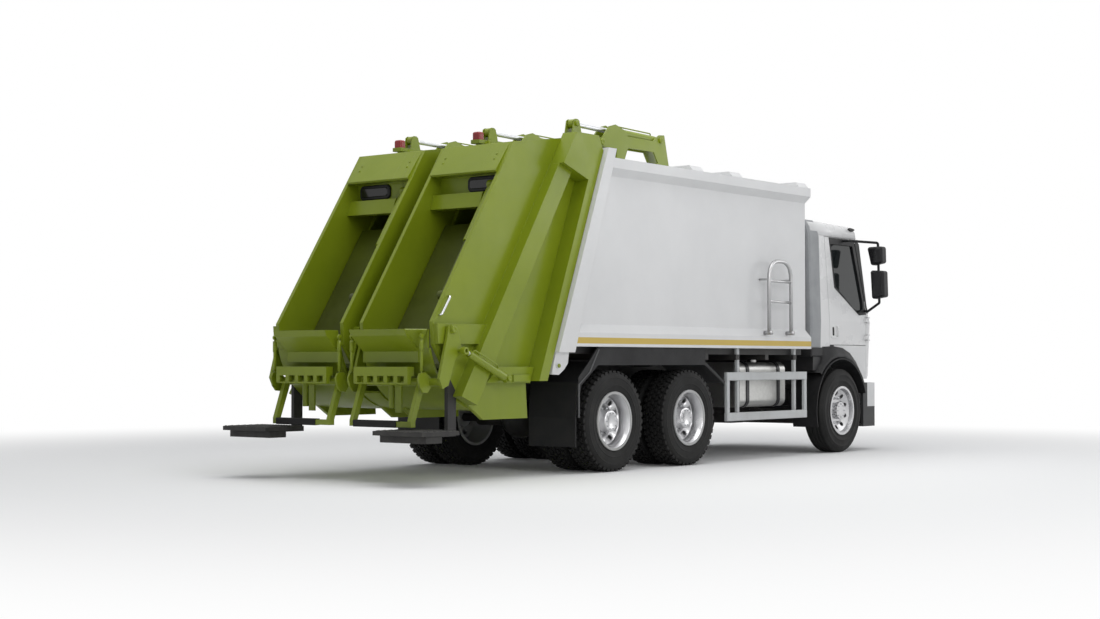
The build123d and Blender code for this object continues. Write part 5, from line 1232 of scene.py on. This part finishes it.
# %% Grille bars and screen edge
SLAT_LOW = 1.093
SLAT_PITCH = 0.075
SLAT_TALL = 0.036
bars = []
for slat in range(5):
    low = SLAT_LOW + SLAT_PITCH * slat
    high = low + SLAT_TALL
    section = ((-0.004, low), (0.003, low), (0.003, high), (-0.004, high))
    rows = [[], [], [], []]
    for step in range(-18, 19):
        x = 0.040 * step
        y = cab_face(x, low + 0.018)
        for row, (forward, z) in zip(rows, section):
            row.append((x, y - forward, z))
    bars.append(lofted(rows, round_columns=True))
new_piece("grille_bars", *moved(gather(bars), FROM_AXLE), "charcoal", "cab", smooth=False)
SCREEN_OUTER = ((-0.992, 1.737), (0.992, 1.737), (0.925, 2.584), (-0.925, 2.584))
SCREEN_INNER = ((-0.935, 1.815), (0.935, 1.815), (0.878, 2.505), (-0.878, 2.505))
rows = [[], [], [], []]
for index in range(4):
    after = (index + 1) % 4
    for step in range(14):
        t = step / 14
        for line, high, low in ((SCREEN_OUTER, 1, 0), (SCREEN_INNER, 2, 3)):
            x = line[index][0] * (1 - t) + line[after][0] * t
            z = line[index][1] * (1 - t) + line[after][1] * t
            y = cab_face(x, z)
            rows[high].append((x, y - 0.003, z))
            rows[low].append((x, y + 0.002, z))
screen_edge = lofted(rows, round_rows=True, round_columns=True)
new_piece("screen_edge", *moved(screen_edge, FROM_AXLE), "mirror_black", "cab", smooth=False)
print("grille bars", len(bars))

# %% Wipers
wipers = []
for foot_x, reach in ((-0.78, 0.40), (-0.06, 0.40), (0.62, -0.30)):
    foot_z, top_z = 1.700, 2.060
    top_x = foot_x + reach
    knuckle = (foot_x, cab_face(foot_x, foot_z) - 0.020, foot_z)
    bend = (foot_x + 0.2 * reach, cab_face(foot_x + 0.2 * reach, foot_z + 0.09) - 0.034, foot_z + 0.09)
    tip = (top_x, cab_face(top_x, top_z) - 0.022, top_z)
    wipers.append(pipe([(foot_x, knuckle[1] + 0.026, foot_z), knuckle, bend, tip], 0.009, 0.012))
    ends = ((top_x - 0.30, top_z - 0.17), (top_x, top_z), (top_x + 0.22, top_z + 0.12))
    wipers.append(pipe([(x, cab_face(x, z) - 0.012, z) for x, z in ends], 0.010, 0.05, sides=8))
new_piece("wipers", *moved(gather(wipers), FROM_AXLE), "mirror_black", "cab")
print("wipers", len(wipers) // 2)

# %% Lamps in the bumper
LAMP_FACE = -5.850
LAMP_HIGH = 0.640
# Columns: name, x, radius, finish of the lens
LAMPS_AHEAD = (("head_lamp", 0.842, 0.050, "lamp_lens"), ("turn_lamp", 0.926, 0.026, "amber_lens"))
for name, x, radius, lens in LAMPS_AHEAD:
    for side, sign in SIDES:
        spot = facing((x * sign, LAMP_FACE, LAMP_HIGH), (0.0, -1.0, 0.0))
        outer, inner = radius + 0.010, radius - 0.002
        bezel = [(-0.004, outer), (0.012, outer), (0.016, radius + 0.004), (0.008, inner), (-0.004, inner)]
        new_piece(f"{name}_ring_{side}", *moved(turned(bezel, 36), spot), "chrome_rod", "chassis")
        dome = [
            (0.000, radius), (0.008, 0.94 * radius), (0.014, 0.70 * radius), (0.017, 0.35 * radius),
            (0.018, 0.0005),
        ]
        dome = turned(dome, 36, closed=False)
        new_piece(f"{name}_lens_{side}", *moved(dome, spot), lens, "chassis")
print("lamps", 2 * len(LAMPS_AHEAD))

# %% [markdown]
# ## Seats
# A driver's seat is foam in a sewn cover, so it is crowned in the middle and pulled in at the sides. A
# box with rounded edges would read as wood. Each pad starts as a slightly small block, is remeshed into
# an even skin and blown up with a little cloth pressure, which gives the crown. The swelling is capped,
# and the seams are pressed in afterwards, because remeshing would wipe them out.

# %% Blowing up a pad
PAD_VOXEL = 0.006
PAD_PRESSURE = 4.0
PAD_STEPS = 20
PAD_SWELL = 0.022
SEAM_WIDE = 0.012
SEAM_DEEP = 0.16
PIPING_Z = 0.145
PIPING_WIDE = 0.010


def pad_block(width, length, thick):
    """A rounded block about its middle: thick along x, length along y, width along z."""
    return slab(rounded(length, width, 0.06), -thick / 2, thick / 2, 0.030)


def blown_pad(name, block, seams, length):
    """A pad swollen from a block, with seams pressed in at some distances along its length."""
    mesh = bpy.data.meshes.new(name)
    mesh.from_pydata(block[0], [], block[1])
    pad = bpy.data.objects.new(name, mesh)
    scene.collection.objects.link(pad)
    even = pad.modifiers.new("even_skin", "REMESH")
    even.mode = "VOXEL"
    even.voxel_size = PAD_VOXEL
    look = bpy.context.evaluated_depsgraph_get()
    start = bpy.data.meshes.new_from_object(pad.evaluated_get(look))
    pad.modifiers.clear()
    pad.data = start
    rest = [vertex.co.copy() for vertex in start.vertices]
    cloth = pad.modifiers.new("cover", "CLOTH")
    cloth.settings.use_pressure = True
    cloth.settings.uniform_pressure_force = PAD_PRESSURE
    cloth.settings.effector_weights.gravity = 0.0
    cloth.point_cache.frame_end = PAD_STEPS
    for step in range(1, PAD_STEPS + 1):
        scene.frame_set(step)
    look = bpy.context.evaluated_depsgraph_get()
    swollen = bpy.data.meshes.new_from_object(pad.evaluated_get(look))
    pad.modifiers.clear()
    scene.frame_set(1)
    for vertex, before in zip(swollen.vertices, rest):
        shift = vertex.co - before
        if shift.length > PAD_SWELL:
            shift *= PAD_SWELL / shift.length
        place = before + shift
        pinch = sum(math.exp(-((place.y - seam * length) / SEAM_WIDE) ** 2) for seam in seams)
        pinch += math.exp(-((abs(place.z) - PIPING_Z) / PIPING_WIDE) ** 2)
        vertex.co = Vector((place.x * (1 - SEAM_DEEP * min(pinch, 1.0)), place.y, place.z))
    bpy.data.objects.remove(pad)
    corners = [tuple(vertex.co) for vertex in swollen.vertices]
    return corners, [tuple(face.vertices) for face in swollen.polygons]


# Columns: name, length, thickness, middle y and z, lean in degrees, seams as shares of the length
PADS = (
    ("seat_cushion", 0.50, 0.105, -4.735, 1.655, 5.0, (-0.22, 0.12)),
    ("seat_back", 0.66, 0.095, -4.452, 2.010, 80.0, (-0.25, 0.05, 0.28)),
)
SEAT_X = 0.68
for name, length, thick, y, z, lean, seams in PADS:
    pad = blown_pad(name, pad_block(0.45, length, thick), seams, length)
    for side, sign in SIDES:
        angle = math.radians(lean)
        turned_up = Matrix(((0, 0, 1, 0), (math.sin(angle), math.cos(angle), 0, 0),
                            (math.cos(angle), -math.sin(angle), 0, 0), (0, 0, 0, 1)))
        place = FROM_AXLE @ Matrix.Translation((SEAT_X * sign, y, z)) @ turned_up
        cushion = new_piece(f"{name}_{side}", *moved(pad, place), "seat_cloth", "cab")
SEAT_PAN = [
    (-4.960, 1.555), (-4.960, 1.600), (-4.500, 1.585), (-4.470, 1.540), (-4.520, 1.195), (-4.860, 1.195),
    (-4.860, 1.500),
]
SEAT_FRAME = [
    (-4.470, 1.540), (-4.408, 1.600), (-4.345, 2.340), (-4.375, 2.345), (-4.450, 1.640), (-4.500, 1.600),
]
bases = []
for side, sign in SIDES:
    bases.append(slab(SEAT_PAN, SEAT_X * sign - 0.20, SEAT_X * sign + 0.20, 0.010))
    bases.append(slab(SEAT_FRAME, SEAT_X * sign - 0.19, SEAT_X * sign + 0.19, 0.008))
seat_base = new_piece("seat_bases", *moved(gather(bases), FROM_AXLE), "dash_plastic", "cab", smooth=False)
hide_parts("seats")
print("pads", 2 * len(PADS))

# %% [markdown]
# ## Guard trim
# The rear mudguards have a rolled grey edge, which stops the plate from whipping and cracking.

# %% Mudguard edges
EDGE_LINE = ((0.257, 1.240), (0.410, 1.015), (0.590, 0.890), (0.590, 0.563))
EDGE_WIDE = 0.022
EDGE_X = (1.206, 1.2155)
section = ((EDGE_X[0], 0.0), (EDGE_X[1], 0.0), (EDGE_X[1], EDGE_WIDE), (EDGE_X[0], EDGE_WIDE))
rows = [[], [], [], []]
for y, z in EDGE_LINE:
    for row, (x, forward) in zip(rows, section):
        row.append((x, y - forward, z))
edge_trim = lofted(rows, round_columns=True)
new_piece("guard_edges", *moved(both(edge_trim), FROM_AXLE), "edge_grey", "chassis", smooth=False)
print("guard edges", len(EDGE_LINE), "points")

# %% [markdown]
# ## Ladder, guards and bin-lift dressing
# The ladder is bent from stout tube, so it is drawn again at its full thickness with one sweep and two
# rungs. The side guards are square tube with plain uprights. The links of the bin lifts are sleeved, and
# the stop bars carry a rubber pad where the bin comes to rest.

# %% Ladder
LADDER_X = -1.300
LADDER_LEGS = (-2.918, -3.412)
LADDER_ENDS = (1.425, 2.275)
FOOT_Z = 1.448
STAY_Z = 2.062
rear_leg, front_leg = LADDER_LEGS
rail_run = [(LADDER_X, rear_leg, z) for z in LADDER_ENDS]
rail_run += [(LADDER_X, front_leg, z) for z in reversed(LADDER_ENDS)]
tubes = [pipe(rail_run, 0.0225, 0.215, sides=18)]
for rung_z in (1.805, 2.042):
    rung = [(LADDER_X, y, rung_z) for y in (rear_leg, (rear_leg + front_leg) / 2, front_leg)]
    tubes.append(pipe(rung, 0.0150, 0.05))
for leg_y in LADDER_LEGS:
    foot = [(x, leg_y, FOOT_Z) for x in (LADDER_X - 0.040, LADDER_X, -1.235)]
    tubes.append(pipe(foot, 0.0235, 0.02))
    stay = [(x, leg_y, STAY_Z) for x in (LADDER_X, -1.240, -1.165)]
    tubes.append(pipe(stay, 0.012, 0.02))
ladder = new_piece("tube_ladder", *moved(gather(tubes), FROM_AXLE), "ladder_steel", "chassis")
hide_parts("ladder")
print("ladder tubes", len(tubes))

# %% Side guards
# Columns: x, y and z from and to
GUARD_BARS = (
    (1.165, 1.205, -3.945, -2.170, 0.452, 0.545), (1.165, 1.205, -3.945, -2.170, 0.905, 0.998),
    (1.167, 1.203, -3.943, -3.888, 0.540, 0.910), (1.167, 1.203, -2.228, -2.172, 0.540, 0.910),
    (1.130, 1.166, -3.752, -3.706, 0.460, 1.268), (1.130, 1.166, -2.489, -2.443, 0.460, 1.268),
)
bars = []
for x_low, x_high, y_low, y_high, z_low, z_high in GUARD_BARS:
    side_view = [(y_low, z_low), (y_high, z_low), (y_high, z_high), (y_low, z_high)]
    bars.append(slab(side_view, x_low, x_high, 0.006))
bars = moved(both(gather(bars)), FROM_AXLE)
guards = new_piece("guard_bars", *bars, "guard_grey", "chassis", smooth=False)
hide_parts("side_guards")
print("guard bars", 2 * len(GUARD_BARS))

# %% Sleeved links and stop pads
PAD_SPANS = {"left": (0.320, 0.858), "right": (-0.722, -0.177)}
STOP_PAD = [(2.634, 0.516), (2.690, 0.514), (2.698, 0.522), (2.698, 0.570), (2.690, 0.578), (2.634, 0.578)]
LINK_Y = 2.615
# Columns: heights along the link, radius, bend
SLEEVES = (((1.030, 1.150, 1.300), 0.0150, 0.02), ((1.210, 1.250, 1.315), 0.0195, 0.01))
for side, sign in SIDES:
    lift_body = f"bin_lift_{side}"
    sleeves = []
    for link_x in (0.082, 0.963):
        for heights, radius, bend in SLEEVES:
            run = [(link_x * sign, LINK_Y, z) for z in heights]
            sleeves.append(pipe(run, radius, bend, sides=16))
    new_piece(f"link_sleeves_{side}", *moved(gather(sleeves), FROM_AXLE), "green_paint", lift_body)
    pad = moved(slab(STOP_PAD, *PAD_SPANS[side], 0.003), FROM_AXLE)
    new_piece(f"stop_pad_{side}", *pad, "tyre", lift_body, smooth=False)
print("pads", PAD_SPANS)
